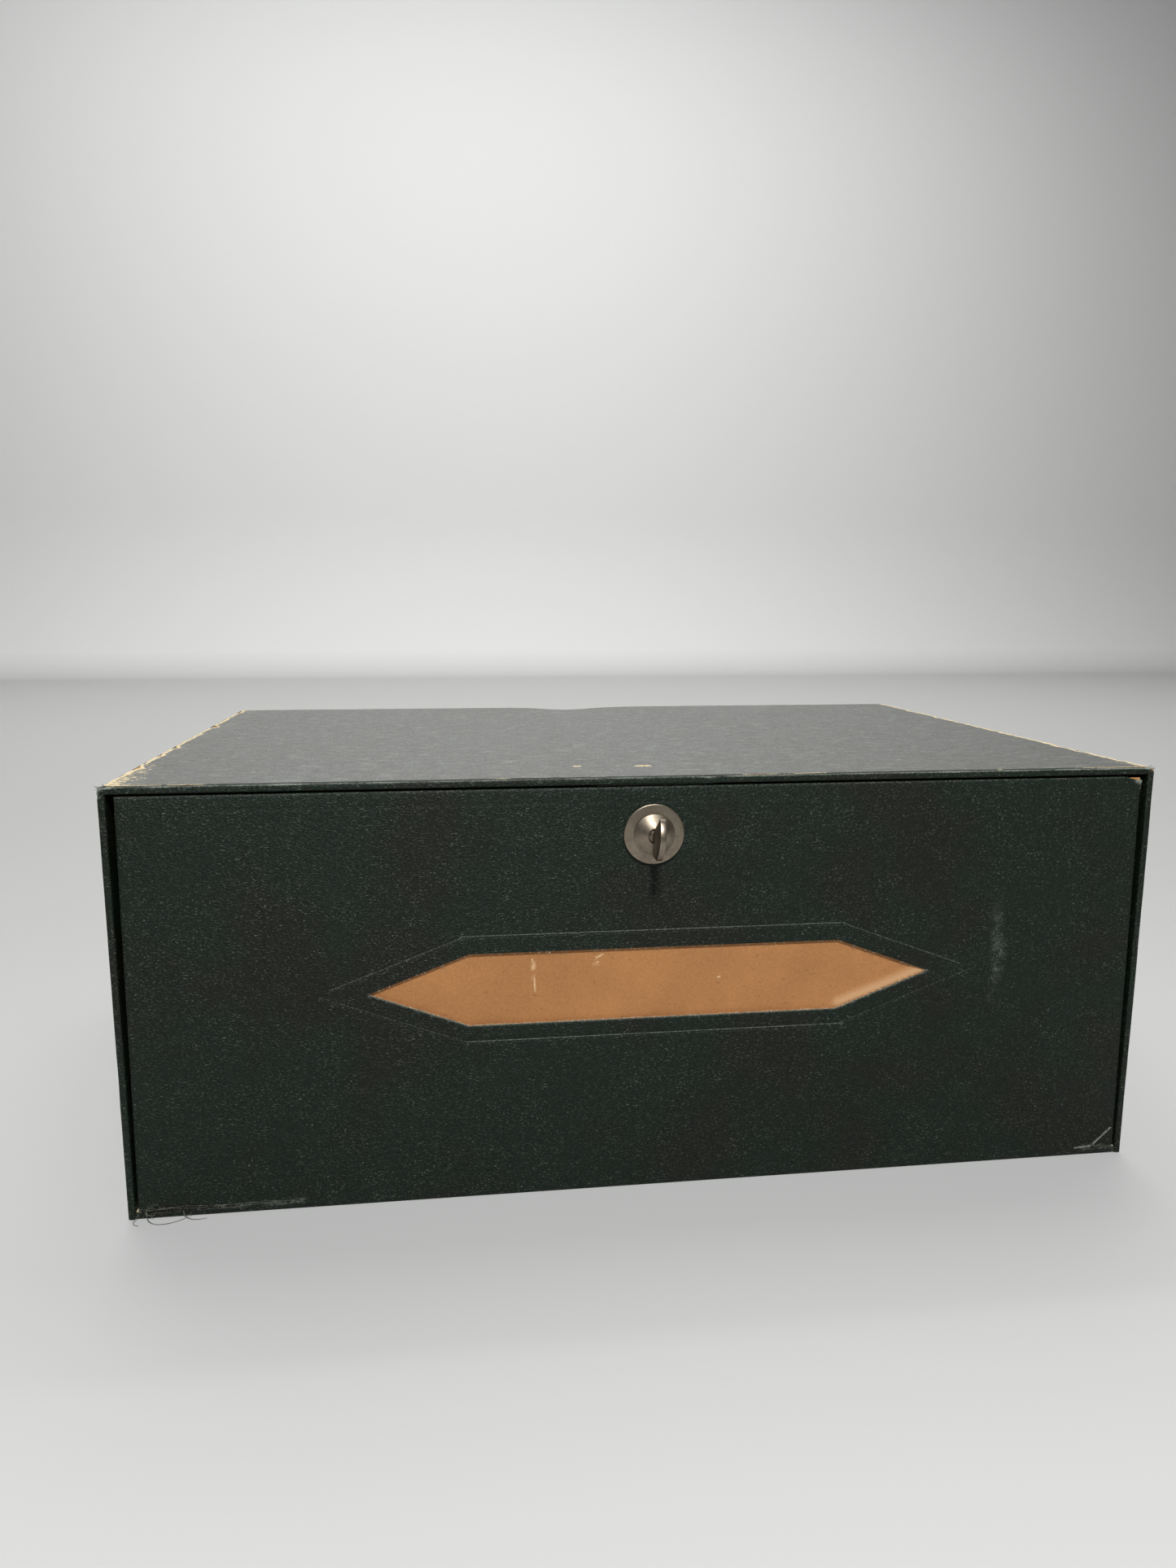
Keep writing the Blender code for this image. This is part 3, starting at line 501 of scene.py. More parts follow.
def kraft_card():
    """Kraft card, machine finished: warm brown and matt, with fine pulp fibres, a few dark shives, paler
    scratches and a painted highlight along its bend."""
    material, tree, shader, mm = start_material("Machine-finished kraft card", 0.8)
    fibre = add_node(
        tree, "TexNoise", {"Vector": mm, "Scale": 1.6, "Detail": 4.0, "Roughness": 0.65}
    ).outputs[0]
    cloudy = add_node(tree, "TexNoise", {"Vector": mm, "Scale": 0.05, "Detail": 3.0}).outputs[0]
    tone = add_node(tree, "Math", {0: fibre, 1: 1.6, 2: cloudy}, operation="MULTIPLY_ADD").outputs[0]
    share = add_node(tree, "MapRange", {0: tone, 1: 0.9, 2: 1.75}).outputs[0]
    ground = add_node(
        tree, "Mix", {0: share, 6: rgba("#966538"), 7: rgba(colours().card)}, data_type="RGBA"
    ).outputs[2]
    lying = add_node(tree, "Mapping", {"Vector": mm, "Scale": (0.35, 1.0, 1.6)}).outputs[0]
    streak = add_node(tree, "TexNoise", {"Vector": lying, "Scale": 0.8, "Detail": 2.0}).outputs[0]
    shive = add_node(tree, "MapRange", {0: streak, 1: 0.69, 2: 0.74, 3: 0.0, 4: 0.6}).outputs[0]
    shived = add_node(tree, "Mix", {0: shive, 6: ground, 7: rgba("#6d4724")}, data_type="RGBA").outputs[2]
    scratches_and_bend_highlight = add_node(tree, "Attribute", attribute_name="rubbed").outputs["Fac"]
    # Painted highlight: the pale band along the card's bend, carried in the same mask as the scratches.
    soft = add_node(tree, "MapRange", {0: scratches_and_bend_highlight, 1: 0.0, 2: 0.4, 3: 0.0, 4: 0.45}).outputs[0]
    bent = add_node(tree, "Mix", {0: soft, 6: shived, 7: rgba("#dcb88e")}, data_type="RGBA").outputs[2]
    broken = add_node(tree, "TexNoise", {"Vector": mm, "Scale": 2.2, "Detail": 2.0}).outputs[0]
    sum_up = add_node(tree, "Math", {0: scratches_and_bend_highlight, 1: broken}, operation="ADD").outputs[0]
    pale = add_node(tree, "MapRange", {0: sum_up, 1: 1.0, 2: 1.25}).outputs[0]
    coloured = add_node(tree, "Mix", {0: pale, 6: bent, 7: rgba("#e9cfa6")}, data_type="RGBA").outputs[2]
    tree.links.new(coloured, shader.inputs["Base Color"])
    bump = add_node(tree, "Bump", {"Height": fibre, "Strength": 0.5, "Distance": 0.00006}).outputs[0]
    tree.links.new(bump, shader.inputs["Normal"])
    return material


def aged_lining_paper():
    """Wove lining paper, pasted down by hand: buff and matt, browned in clouds, with faint ripples
    from the paste and some foxing."""
    material, tree, shader, mm = start_material("Pasted lining paper", 0.85)
    fibre = add_node(
        tree, "TexNoise", {"Vector": mm, "Scale": 1.3, "Detail": 4.0, "Roughness": 0.65}
    ).outputs[0]
    cloudy = add_node(
        tree, "TexNoise", {"Vector": mm, "Scale": 0.014, "Detail": 5.0, "Roughness": 0.6}
    ).outputs[0]
    aged = add_node(tree, "MapRange", {0: cloudy, 1: 0.38, 2: 0.7, 3: 0.0, 4: 0.34}).outputs[0]
    ground = add_node(
        tree, "Mix", {0: aged, 6: rgba(colours().lining), 7: rgba("#ab9671")}, data_type="RGBA"
    ).outputs[2]
    spots = add_node(
        tree, "TexVoronoi", {"Vector": mm, "Scale": 1 / 13, "Randomness": 1.0}, feature="SMOOTH_F1"
    )
    foxed = add_node(
        tree, "MapRange", {0: spots.outputs["Distance"], 1: 0.1, 2: 0.04, 3: 0.0, 4: 0.45}
    ).outputs[0]
    some = add_node(tree, "Math", {0: spots.outputs["Color"], 1: 0.62}, operation="GREATER_THAN").outputs[0]
    fox = add_node(tree, "Math", {0: foxed, 1: some}, operation="MULTIPLY").outputs[0]
    foxy = add_node(tree, "Mix", {0: fox, 6: ground, 7: rgba("#8a6238")}, data_type="RGBA").outputs[2]
    fine = add_node(tree, "MapRange", {0: fibre, 1: 0.3, 2: 0.7, 3: 0.86, 4: 1.04}).outputs[0]
    shaded = add_node(tree, "VectorMath", {0: foxy, "Scale": fine}, operation="SCALE").outputs[0]
    tree.links.new(shaded, shader.inputs["Base Color"])
    ripple = add_node(tree, "TexNoise", {"Vector": mm, "Scale": 0.08, "Detail": 2.0}).outputs[0]
    height = add_node(tree, "Math", {0: ripple, 1: 5.0, 2: fibre}, operation="MULTIPLY_ADD").outputs[0]
    bump = add_node(tree, "Bump", {"Height": height, "Strength": 0.6, "Distance": 0.00008}).outputs[0]
    tree.links.new(bump, shader.inputs["Normal"])
    return material


def linen_tape():
    """Gummed linen tape, plain woven: threads about 0.7 mm apart cross in a small square weave."""
    material, tree, shader, mm = start_material("Plain-woven linen tape", 0.88)
    parts = add_node(tree, "SeparateXYZ", {0: mm})
    across = add_node(tree, "Math", {0: parts.outputs[0], 1: parts.outputs[1]}, operation="ADD").outputs[0]
    pitch = 2 * math.pi / 1.4
    weft = add_node(tree, "Math", {0: parts.outputs[2], 1: pitch}, operation="MULTIPLY").outputs[0]
    warp = add_node(tree, "Math", {0: across, 1: pitch}, operation="MULTIPLY").outputs[0]
    weft_wave = add_node(tree, "Math", {0: weft}, operation="SINE").outputs[0]
    warp_wave = add_node(tree, "Math", {0: warp}, operation="SINE").outputs[0]
    weave = add_node(tree, "Math", {0: weft_wave, 1: warp_wave}, operation="MULTIPLY").outputs[0]
    slub = add_node(tree, "TexNoise", {"Vector": mm, "Scale": 0.7, "Detail": 3.0}).outputs[0]
    height = add_node(tree, "Math", {0: slub, 1: 1.5, 2: weave}, operation="MULTIPLY_ADD").outputs[0]
    tone = add_node(tree, "MapRange", {0: height, 1: -0.4, 2: 1.8}).outputs[0]
    coloured = add_node(
        tree, "Mix", {0: tone, 6: rgba("#6f6149"), 7: rgba(colours().tape)}, data_type="RGBA"
    ).outputs[2]
    tree.links.new(coloured, shader.inputs["Base Color"])
    bump = add_node(tree, "Bump", {"Height": height, "Strength": 0.8, "Distance": 0.00012}).outputs[0]
    tree.links.new(bump, shader.inputs["Normal"])
    return material


def cotton_thread():
    """Cotton thread from torn bookcloth: grey-green, dull, and paler where the dye has gone."""
    material, tree, shader, mm = start_material("Frayed cotton thread", 0.95)
    tone = add_node(tree, "TexNoise", {"Vector": mm, "Scale": 0.35, "Detail": 2.0}).outputs[0]
    share = add_node(tree, "MapRange", {0: tone, 1: 0.35, 2: 0.65}).outputs[0]
    coloured = add_node(
        tree, "Mix", {0: share, 6: rgba("#34372f"), 7: rgba(colours().thread)}, data_type="RGBA"
    ).outputs[2]
    tree.links.new(coloured, shader.inputs["Base Color"])
    return material


def raw_edge_fibre():
    """Undyed cotton fibre, where the cloth and board were cut: pale and downy."""
    material, tree, shader, mm = start_material("Cut cotton fibre", 0.95)
    tone = add_node(tree, "TexNoise", {"Vector": mm, "Scale": 0.6, "Detail": 2.0}).outputs[0]
    share = add_node(tree, "MapRange", {0: tone, 1: 0.35, 2: 0.65}).outputs[0]
    coloured = add_node(
        tree, "Mix", {0: share, 6: rgba("#7b776a"), 7: rgba("#c9c0ab")}, data_type="RGBA"
    ).outputs[2]
    tree.links.new(coloured, shader.inputs["Base Color"])
    return material


def turned_nickel(name, centre_x, centre_z, ring_pitch):
    """Brass turned on a lathe and nickel plated: a warm grey metal with fine rings about the
    spindle, dulled by handling, and darker tarnish in clouds."""
    material, tree, shader, mm = start_material(name, 0.3, 1.0)
    centred = add_node(
        tree, "VectorMath", {0: mm, 1: (centre_x / MM, 0.0, centre_z / MM)}, operation="SUBTRACT"
    ).outputs[0]
    flat = add_node(tree, "VectorMath", {0: centred, 1: (1.0, 0.0, 1.0)}, operation="MULTIPLY").outputs[0]
    radius = add_node(tree, "VectorMath", {0: flat}, operation="LENGTH").outputs[1]
    turns = add_node(
        tree, "Math", {0: radius, 1: 2 * math.pi / ring_pitch}, operation="MULTIPLY"
    ).outputs[0]
    ring = add_node(tree, "Math", {0: turns}, operation="SINE").outputs[0]
    chatter = add_node(
        tree, "TexNoise", {"Vector": mm, "Scale": 1.2, "Detail": 4.0, "Roughness": 0.7}
    ).outputs[0]
    height = add_node(tree, "Math", {0: ring, 1: 0.2, 2: chatter}, operation="MULTIPLY_ADD").outputs[0]
    cloudy = add_node(
        tree, "TexNoise", {"Vector": mm, "Scale": 0.35, "Detail": 4.0, "Roughness": 0.65}
    ).outputs[0]
    tarnish = add_node(tree, "MapRange", {0: cloudy, 1: 0.42, 2: 0.68, 3: 0.0, 4: 0.5}).outputs[0]
    coloured = add_node(
        tree, "Mix", {0: tarnish, 6: rgba(colours().nickel), 7: rgba("#5f564c")}, data_type="RGBA"
    ).outputs[2]
    tree.links.new(coloured, shader.inputs["Base Color"])
    gloss = add_node(tree, "MapRange", {0: cloudy, 1: 0.35, 2: 0.7, 3: 0.36, 4: 0.54}).outputs[0]
    tree.links.new(gloss, shader.inputs["Roughness"])
    bump = add_node(tree, "Bump", {"Height": height, "Strength": 0.35, "Distance": 0.00004}).outputs[0]
    tree.links.new(bump, shader.inputs["Normal"])
    return material


def filed_metal(name, colour_rgb, along):
    """Sheet metal, filed and polished along one way: satin, with fine scratches that way and darker
    tarnish in clouds."""
    material, tree, shader, mm = start_material(name, 0.36, 1.0)
    lying = add_node(tree, "Mapping", {"Vector": mm, "Scale": along}).outputs[0]
    scratch = add_node(
        tree, "TexNoise", {"Vector": lying, "Scale": 3.0, "Detail": 4.0, "Roughness": 0.7}
    ).outputs[0]
    cloudy = add_node(
        tree, "TexNoise", {"Vector": mm, "Scale": 0.3, "Detail": 4.0, "Roughness": 0.6}
    ).outputs[0]
    tarnish = add_node(tree, "MapRange", {0: cloudy, 1: 0.42, 2: 0.7, 3: 0.0, 4: 0.45}).outputs[0]
    coloured = add_node(
        tree, "Mix", {0: tarnish, 6: rgba(colour_rgb), 7: rgba("#6d675f")}, data_type="RGBA"
    ).outputs[2]
    tree.links.new(coloured, shader.inputs["Base Color"])
    gloss = add_node(tree, "MapRange", {0: scratch, 1: 0.3, 2: 0.7, 3: 0.28, 4: 0.48}).outputs[0]
    tree.links.new(gloss, shader.inputs["Roughness"])
    bump = add_node(tree, "Bump", {"Height": scratch, "Strength": 0.35, "Distance": 0.00004}).outputs[0]
    tree.links.new(bump, shader.inputs["Normal"])
    return material


MATERIALS = {}


def material_of(name, make, *details):
    """The material of that name, made the first time that it is asked for."""
    if name not in MATERIALS:
        MATERIALS[name] = make(*details)
    return MATERIALS[name]


def cloth_material():
    return material_of("cloth", grained_bookcloth)


# ---- Pieces of the casing -----------------------------------------------------------------


def arc_points(radius, steps):
    """(inset, depth) of points round a quarter turn, from a face's edge on to the next face."""
    turn = [math.pi / 2 * i / steps for i in range(steps + 1)]
    return [(radius * (1 - math.sin(t)), radius * (1 - math.cos(t))) for t in turn]


class DOCBOX_OT_edge_binding(bpy.types.Operator):
    """Cloth bound round the front edges of the sides and the top"""

    bl_idname = "docbox.edge_binding"
    bl_label = "Edge binding"

    def execute(self, context):
        corner = 2.4 * MM
        arris = sizes().arris
        straight = 1.5 * MM
        # Across the strip: up the wall's inside, over its front edge and on to its outside
        section = [(BOUND_WALL, 12 * MM - 1.2 * MM * i) for i in range(9)]
        section += [(BOUND_WALL - d, i) for i, d in arc_points(0.6 * MM, 4)]
        section += [(1.55 * MM, 0), (arris, 0)]
        section += arc_points(arris, 5)[1:]
        section += [(0, 1.6 * MM), (0, 2.3 * MM), (0, 3.1 * MM)]
        up = round((TOP - corner) / straight)
        over = round((2 * HALF - 2 * corner) / straight)
        turns = 8
        stations = [("left", i / up) for i in range(up + 1)]
        stations += [("left_turn", i / turns) for i in range(1, turns)]
        stations += [("top", i / over) for i in range(over + 1)]
        stations += [("right_turn", i / turns) for i in range(1, turns)]
        stations += [("right", 1 - i / up) for i in range(up + 1)]

        def wall_point(station, inset):
            where, share = station
            if where in ("left", "right"):
                x, z = HALF - inset, share * (TOP - max(corner, inset))
            elif where == "top":
                reach = HALF - max(corner, inset)
                return (2 * share - 1) * reach, TOP - inset
            else:
                bend = max(corner - inset, 0)
                swing = share if where == "left_turn" else 1 - share
                angle = math.pi / 2 * swing
                middle = max(corner, inset)
                x = HALF - middle + bend * math.cos(angle)
                z = TOP - middle + bend * math.sin(angle)
            return (-x if where.startswith("left") else x), z

        def place(u, v):
            inset, deep = section[round(v * (len(section) - 1))]
            x, z = wall_point(stations[round(u * (len(stations) - 1))], inset)
            point = Vector((x, FRONT + deep, z))
            if deep > 2.9 * MM and inset == 0:
                point.y += 0.35 * MM * soft_noise(point, 3 * MM, 2.0)
            return point

        strip = lay_grid("edge_binding", len(stations) - 1, len(section) - 1, place)
        choose(strip)
        bpy.ops.object.mode_set(mode="EDIT")
        bpy.ops.mesh.select_all(action="SELECT")
        bpy.ops.mesh.remove_doubles(threshold=0.005 * MM)
        bpy.ops.object.mode_set(mode="OBJECT")

        def unevenness(point):
            side = abs(point.x) > HALF - 3 * MM
            swell = 0.16 * MM * soft_noise(point, 14 * MM, 5.0)
            swell += 0.07 * MM * soft_noise(point, 3.5 * MM, 8.0)
            nick = falloff(point.x - 18 * MM, 5 * MM) if point.z > TOP - 3 * MM else 0
            deep = max(swell, -0.12 * MM) * falloff(point.y - FRONT, 6 * MM)
            shift = Vector((0, deep + 0.35 * MM * nick * soft_noise(point, 1.6 * MM), -0.25 * MM * nick))
            if side:
                wave = 0.22 * MM * soft_noise((0, 0, point.z), 19 * MM, 3.0 + math.copysign(2, point.x))
                shift.x -= math.copysign(max(wave, 0), point.x) * falloff(point.y - FRONT, 9 * MM)
            return shift

        move_points(strip, unevenness)
        refine(
            strip,
            lambda p: p.y < FRONT + 2.6 * MM and p.z > TOP - 6 * MM and abs(p.x) > HALF - 8 * MM,
            1,
        )

        def pinched(point):
            for x, pull in ((-HALF, 0.75), (HALF, 0.45)):
                near = falloff((point - Vector((x, FRONT, TOP))).length, 6 * MM)
                if near:
                    crumple = Vector(
                        [soft_noise(point, 1.3 * MM, seed) for seed in (1.0, 4.0, 9.0)]
                    )
                    return crumple * near * pull * MM
            return Vector()

        move_points(strip, pinched)
        thicken(strip, sizes().cloth)

        def rubbed(point):
            outer = min(HALF - abs(point.x), TOP - point.z)
            arris_rub = falloff(outer, 1.0 * MM) * falloff(point.y - FRONT, 1.5 * MM)
            top_edge = point.z > TOP - 1.5 * MM
            corner_rub = max(
                falloff((point - Vector((s * HALF, FRONT, TOP))).length, 7 * MM) for s in (-1, 1)
            )
            nick = falloff(point.x - 18 * MM, 4 * MM) if top_edge else 0
            patch = 0.5 + 0.5 * soft_noise(point, 9 * MM, 6.0)
            worn = (0.85 if top_edge else 0.45) * arris_rub * (0.55 + 0.8 * patch)
            return min(1, worn + 0.5 * corner_rub + 0.4 * nick)

        rub(strip, rubbed)
        place_piece(strip, cloth_material(), "green_grained_cloth", "casing", "edge_binding_cloth")
        return {"FINISHED"}


class DOCBOX_OT_side_wrap(bpy.types.Operator):
    """Cloth wrapped round the two sides and the back"""

    bl_idname = "docbox.side_wrap"
    bl_label = "Side wrap"

    def execute(self, context):
        bend = 1.2 * MM
        pitch = 3.0 * MM
        turns = 6
        deep = BACK - bend - WRAP_FRONT
        side_run = round(deep / pitch)
        back_run = round((2 * HALF - 2 * bend) / pitch)
        # Points round the casing, with the way out of the cloth at each
        path = [(HALF, WRAP_FRONT + deep * i / side_run, 1, 0) for i in range(side_run)]
        for i in range(turns + 1):
            angle = math.pi / 2 * i / turns
            nx, ny = math.cos(angle), math.sin(angle)
            path.append((HALF - bend + bend * nx, BACK - bend + bend * ny, nx, ny))
        half_back = round(back_run / 2)
        path += [((HALF - bend) * (1 - i / half_back), BACK, 0, 1) for i in range(1, half_back + 1)]
        path += [(-x, y, -nx, ny) for x, y, nx, ny in reversed(path[:-1])]

        foot = 0.9 * MM
        head = 0.7 * MM
        # Rows of the cloth: how far in from the wall's face, and the height
        levels = [(foot, 0.3 * MM)]
        for turn in (0.5, 0.9, 1.25):
            levels.append((foot * (1 - math.sin(turn)), 0.3 * MM + foot * (1 - math.cos(turn))))
        rise = round((TOP - 3 * MM) / pitch)
        levels += [(0, 1.2 * MM + (TOP - 2.6 * MM) * i / rise) for i in range(rise + 1)]
        levels += [(0.05 * MM, TOP - 0.9 * MM), (0.25 * MM, TOP - 0.5 * MM), (head, TOP - 0.36 * MM)]

        def place(u, v):
            x, y, nx, ny = path[round(u * (len(path) - 1))]
            inset, z = levels[round(v * (len(levels) - 1))]
            at = Vector((x, y, z))
            swell = 0.14 * MM * soft_noise(at, 70 * MM, 3.0) + 0.05 * MM * soft_noise(at, 16 * MM, 7.0)
            arris = falloff(z, 6 * MM) + falloff(TOP - z, 6 * MM)
            dent = 0.25 * MM * max(0, soft_noise(at, 11 * MM, 11.0)) * arris
            inset += 0.16 * MM - swell + dent
            if z > TOP - 8 * MM:
                z -= top_sag(at) * falloff(TOP - z, 9 * MM)
            if z > TOP - 1.2 * MM:
                z -= 0.3 * MM * max(0, soft_noise(at, 5 * MM, 1.0))
            return Vector((x - nx * inset, y - ny * inset, z))

        wrap = lay_grid("side_wrap", len(path) - 1, len(levels) - 1, place)
        thicken(wrap, sizes().cloth * 0.9)

        def rubbed(point):
            back_corner = max(
                falloff(math.hypot(point.x - s * HALF, point.y - BACK), 3.2 * MM) for s in (-1, 1)
            )
            head_rub = falloff(TOP - point.z, 3.5 * MM)
            foot_rub = falloff(point.z, 3.5 * MM)
            patch = 0.5 + 0.5 * soft_noise(point, 12 * MM, 2.0)
            scrape = max(0, soft_noise((point.x, point.y, point.z * 0.25), 16 * MM, 21.0) - 0.42) * 1.4
            corner = max(back_corner * head_rub, back_corner * foot_rub)
            worn = (0.7 * back_corner + 0.75 * head_rub + 0.55 * foot_rub) * (0.45 + 0.7 * patch)
            return min(1, worn + scrape + corner)

        rub(wrap, rubbed)
        place_piece(wrap, cloth_material(), "green_grained_cloth", "casing", "side_wrap_cloth")
        return {"FINISHED"}


class DOCBOX_OT_top_sheet(bpy.types.Operator):
    """The top board and the glazed paper over it, torn along its edges"""

    bl_idname = "docbox.top_sheet"
    bl_label = "Top sheet"

    def execute(self, context):
        low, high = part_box("top_board")

        def board_point(u, v):
            point = Vector((low.x + (high.x - low.x) * u, low.y + (high.y - low.y) * v, high.z))
            point.z -= top_sag(point)
            near_edge = falloff(min(point.x - low.x, high.x - point.x, high.y - point.y), 5 * MM)
            point.z -= 0.35 * MM * near_edge * max(0, 0.4 + soft_noise(point, 9 * MM, 3.0))
            return point

        board = lay_grid("worn_top_board", 126, 86, board_point)
        thicken(board, high.z - low.z)
        ease_edges(board, 0.35 * MM, 2, 60)
        place_piece(board, material_of("board", pulp_board), "greyboard", "casing", "top_board")

        edge_columns = 14
        fine_reach = 9 * MM
        middle_columns = 112

        def across(u):
            """Closer columns near both side edges."""
            columns = 2 * edge_columns + middle_columns
            column = u * columns
            if column <= edge_columns:
                return -HALF + fine_reach * column / edge_columns
            if column >= columns - edge_columns:
                return HALF - fine_reach * (columns - column) / edge_columns
            return (HALF - fine_reach) * (2 * (column - edge_columns) / middle_columns - 1)

        def loss(side, y):
            """How far the sheet is torn back from a side edge."""
            seed = 31.0 + 7 * side
            at = (0, y, 0)
            ragged = 0.5 * MM * soft_noise(at, 2.6 * MM, seed + 1)
            ragged += 0.35 * MM * soft_noise(at, 1.3 * MM, seed)
            worn = soft_noise(at, 34 * MM, seed + 3) + 0.7 * soft_noise(at, 11 * MM, seed + 5)
            bite = max(0, worn - 0.12) * 1.3 * sizes().tear
            return max(0.5 * MM, 1.3 * MM + bite + ragged)

        def back_loss(x):
            return 0.4 * MM + 1.1 * MM * max(0, soft_noise((x, 0, 0), 9 * MM, 51.0))

        sheet_front = WRAP_FRONT - 1.4 * MM

        def sheet_point(u, v):
            x = across(u)
            y = sheet_front + (BACK - sheet_front) * v
            lost = loss(math.copysign(1, x), y)
            room = falloff(HALF - abs(x), fine_reach)
            x -= math.copysign(lost * room, x)
            y -= back_loss(x) * falloff(BACK - y, 8 * MM)
            front_wave = 0.35 * MM * soft_noise((x, 0, 0), 5 * MM, 61.0)
            front_wave += 0.5 * MM * soft_noise((x, 0, 0), 31 * MM, 62.0)
            y += front_wave * falloff(y - sheet_front, 5 * MM)
            point = Vector((x, y, TOP - 0.02 * MM))
            point.z -= top_sag(point)
            point.z += 0.10 * MM * soft_noise(point, 45 * MM, 4.0) - 0.10 * MM
            ripple = 0.06 * MM * soft_noise((point.x * 0.35, point.y, 0), 7 * MM, 9.0)
            point.z += min(ripple, 0.0)
            curl = falloff(HALF - abs(x) - lost, 2.0 * MM) * max(0, soft_noise(point, 7 * MM, 71.0))
            point.z += 0.3 * MM * curl
            point.z += 0.28 * MM * falloff(y - sheet_front, 1.6 * MM)
            return point

        sheet = lay_grid("top_sheet", 2 * edge_columns + middle_columns, 176, sheet_point)
        thicken(sheet, sizes().paper * 1.1)

        def torn(point):
            lost = loss(math.copysign(1, point.x), point.y)
            width = (3.6 + 2.6 * soft_noise((0, point.y, 0), 17 * MM, 93.0 + lost)) * MM
            side = falloff(HALF - abs(point.x) - lost, width)
            back = falloff(BACK - point.y - back_loss(point.x), 1.3 * MM)
            behind = point.y - sheet_front
            front_left = 0.85 * falloff(point.x + HALF, 50 * MM) * falloff(behind, 5.5 * MM)
            front_right = 0.85 * falloff(point.x - HALF, 70 * MM) * falloff(behind, 4.5 * MM)
            patchy = 1.7 * falloff(behind, 3.0 * MM) * max(0, soft_noise((point.x, 0, 0), 14 * MM, 81.0))
            scuff = falloff(point.x + 1 * MM, 7.5 * MM) * falloff(point.y - FRONT - 27 * MM, 3.2 * MM) * 1.1
            dent = falloff(point.x + 26 * MM, 5.5 * MM) * falloff(point.y - FRONT - 29 * MM, 2.4 * MM)
            to_front = 0.72 + 0.28 * falloff(point.y - FRONT, 70 * MM)
            from_left = falloff(HALF + point.x - lost, 20 * MM) ** 0.5
            from_right = 0.85 * falloff(HALF - point.x - lost, 12 * MM) ** 0.5
            flecked = 0.56 * to_front * max(from_left, from_right)
            edges = max(0.78 * side, 0.7 * back, front_left, front_right, patchy)
            return min(0.92, max(edges, scuff, dent, flecked))

        rub(sheet, torn)
        paper = material_of("top paper", glazed_paper)
        place_piece(sheet, paper, "green_glazed_paper", "casing", "top_cover_sheet")
        return {"FINISHED"}


class DOCBOX_OT_base_sheet(bpy.types.Operator):
    """Cloth pasted over the underside"""

    bl_idname = "docbox.base_sheet"
    bl_label = "Base sheet"

    def execute(self, context):
        low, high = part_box("base_cover_sheet")

        def place(u, v):
            x = low.x + (high.x - low.x) * v
            y = low.y + (high.y - low.y) * u
            margin = 1.0 * MM + 0.4 * MM * soft_noise((x, y, 0), 6 * MM, 2.0)
            x = min(max(x, low.x + margin), high.x - margin)
            y = min(y, high.y - margin)
            edge = falloff(min(x - low.x, high.x - x, high.y - y), 2.4 * MM)
            swell = 0.03 * MM * max(0, soft_noise((x, y, 0), 30 * MM, 5.0))
            return Vector((x, y, 0.12 * MM * edge + swell))

        sheet = lay_grid("base_sheet", 100, 150, place)
        thicken(sheet, 0.25 * MM)

        def rubbed(point):
            edge = falloff(min(HALF - abs(point.x), BACK - point.y) - 1 * MM, 5 * MM)
            scrape = max(0, soft_noise((point.x * 0.2, point.y, 0), 9 * MM, 12.0) - 0.3)
            return min(1, 0.5 * edge + 0.9 * scrape)

        rub(sheet, rubbed)
        place_piece(sheet, cloth_material(), "green_grained_cloth", "casing", "base_cover_sheet")
        return {"FINISHED"}


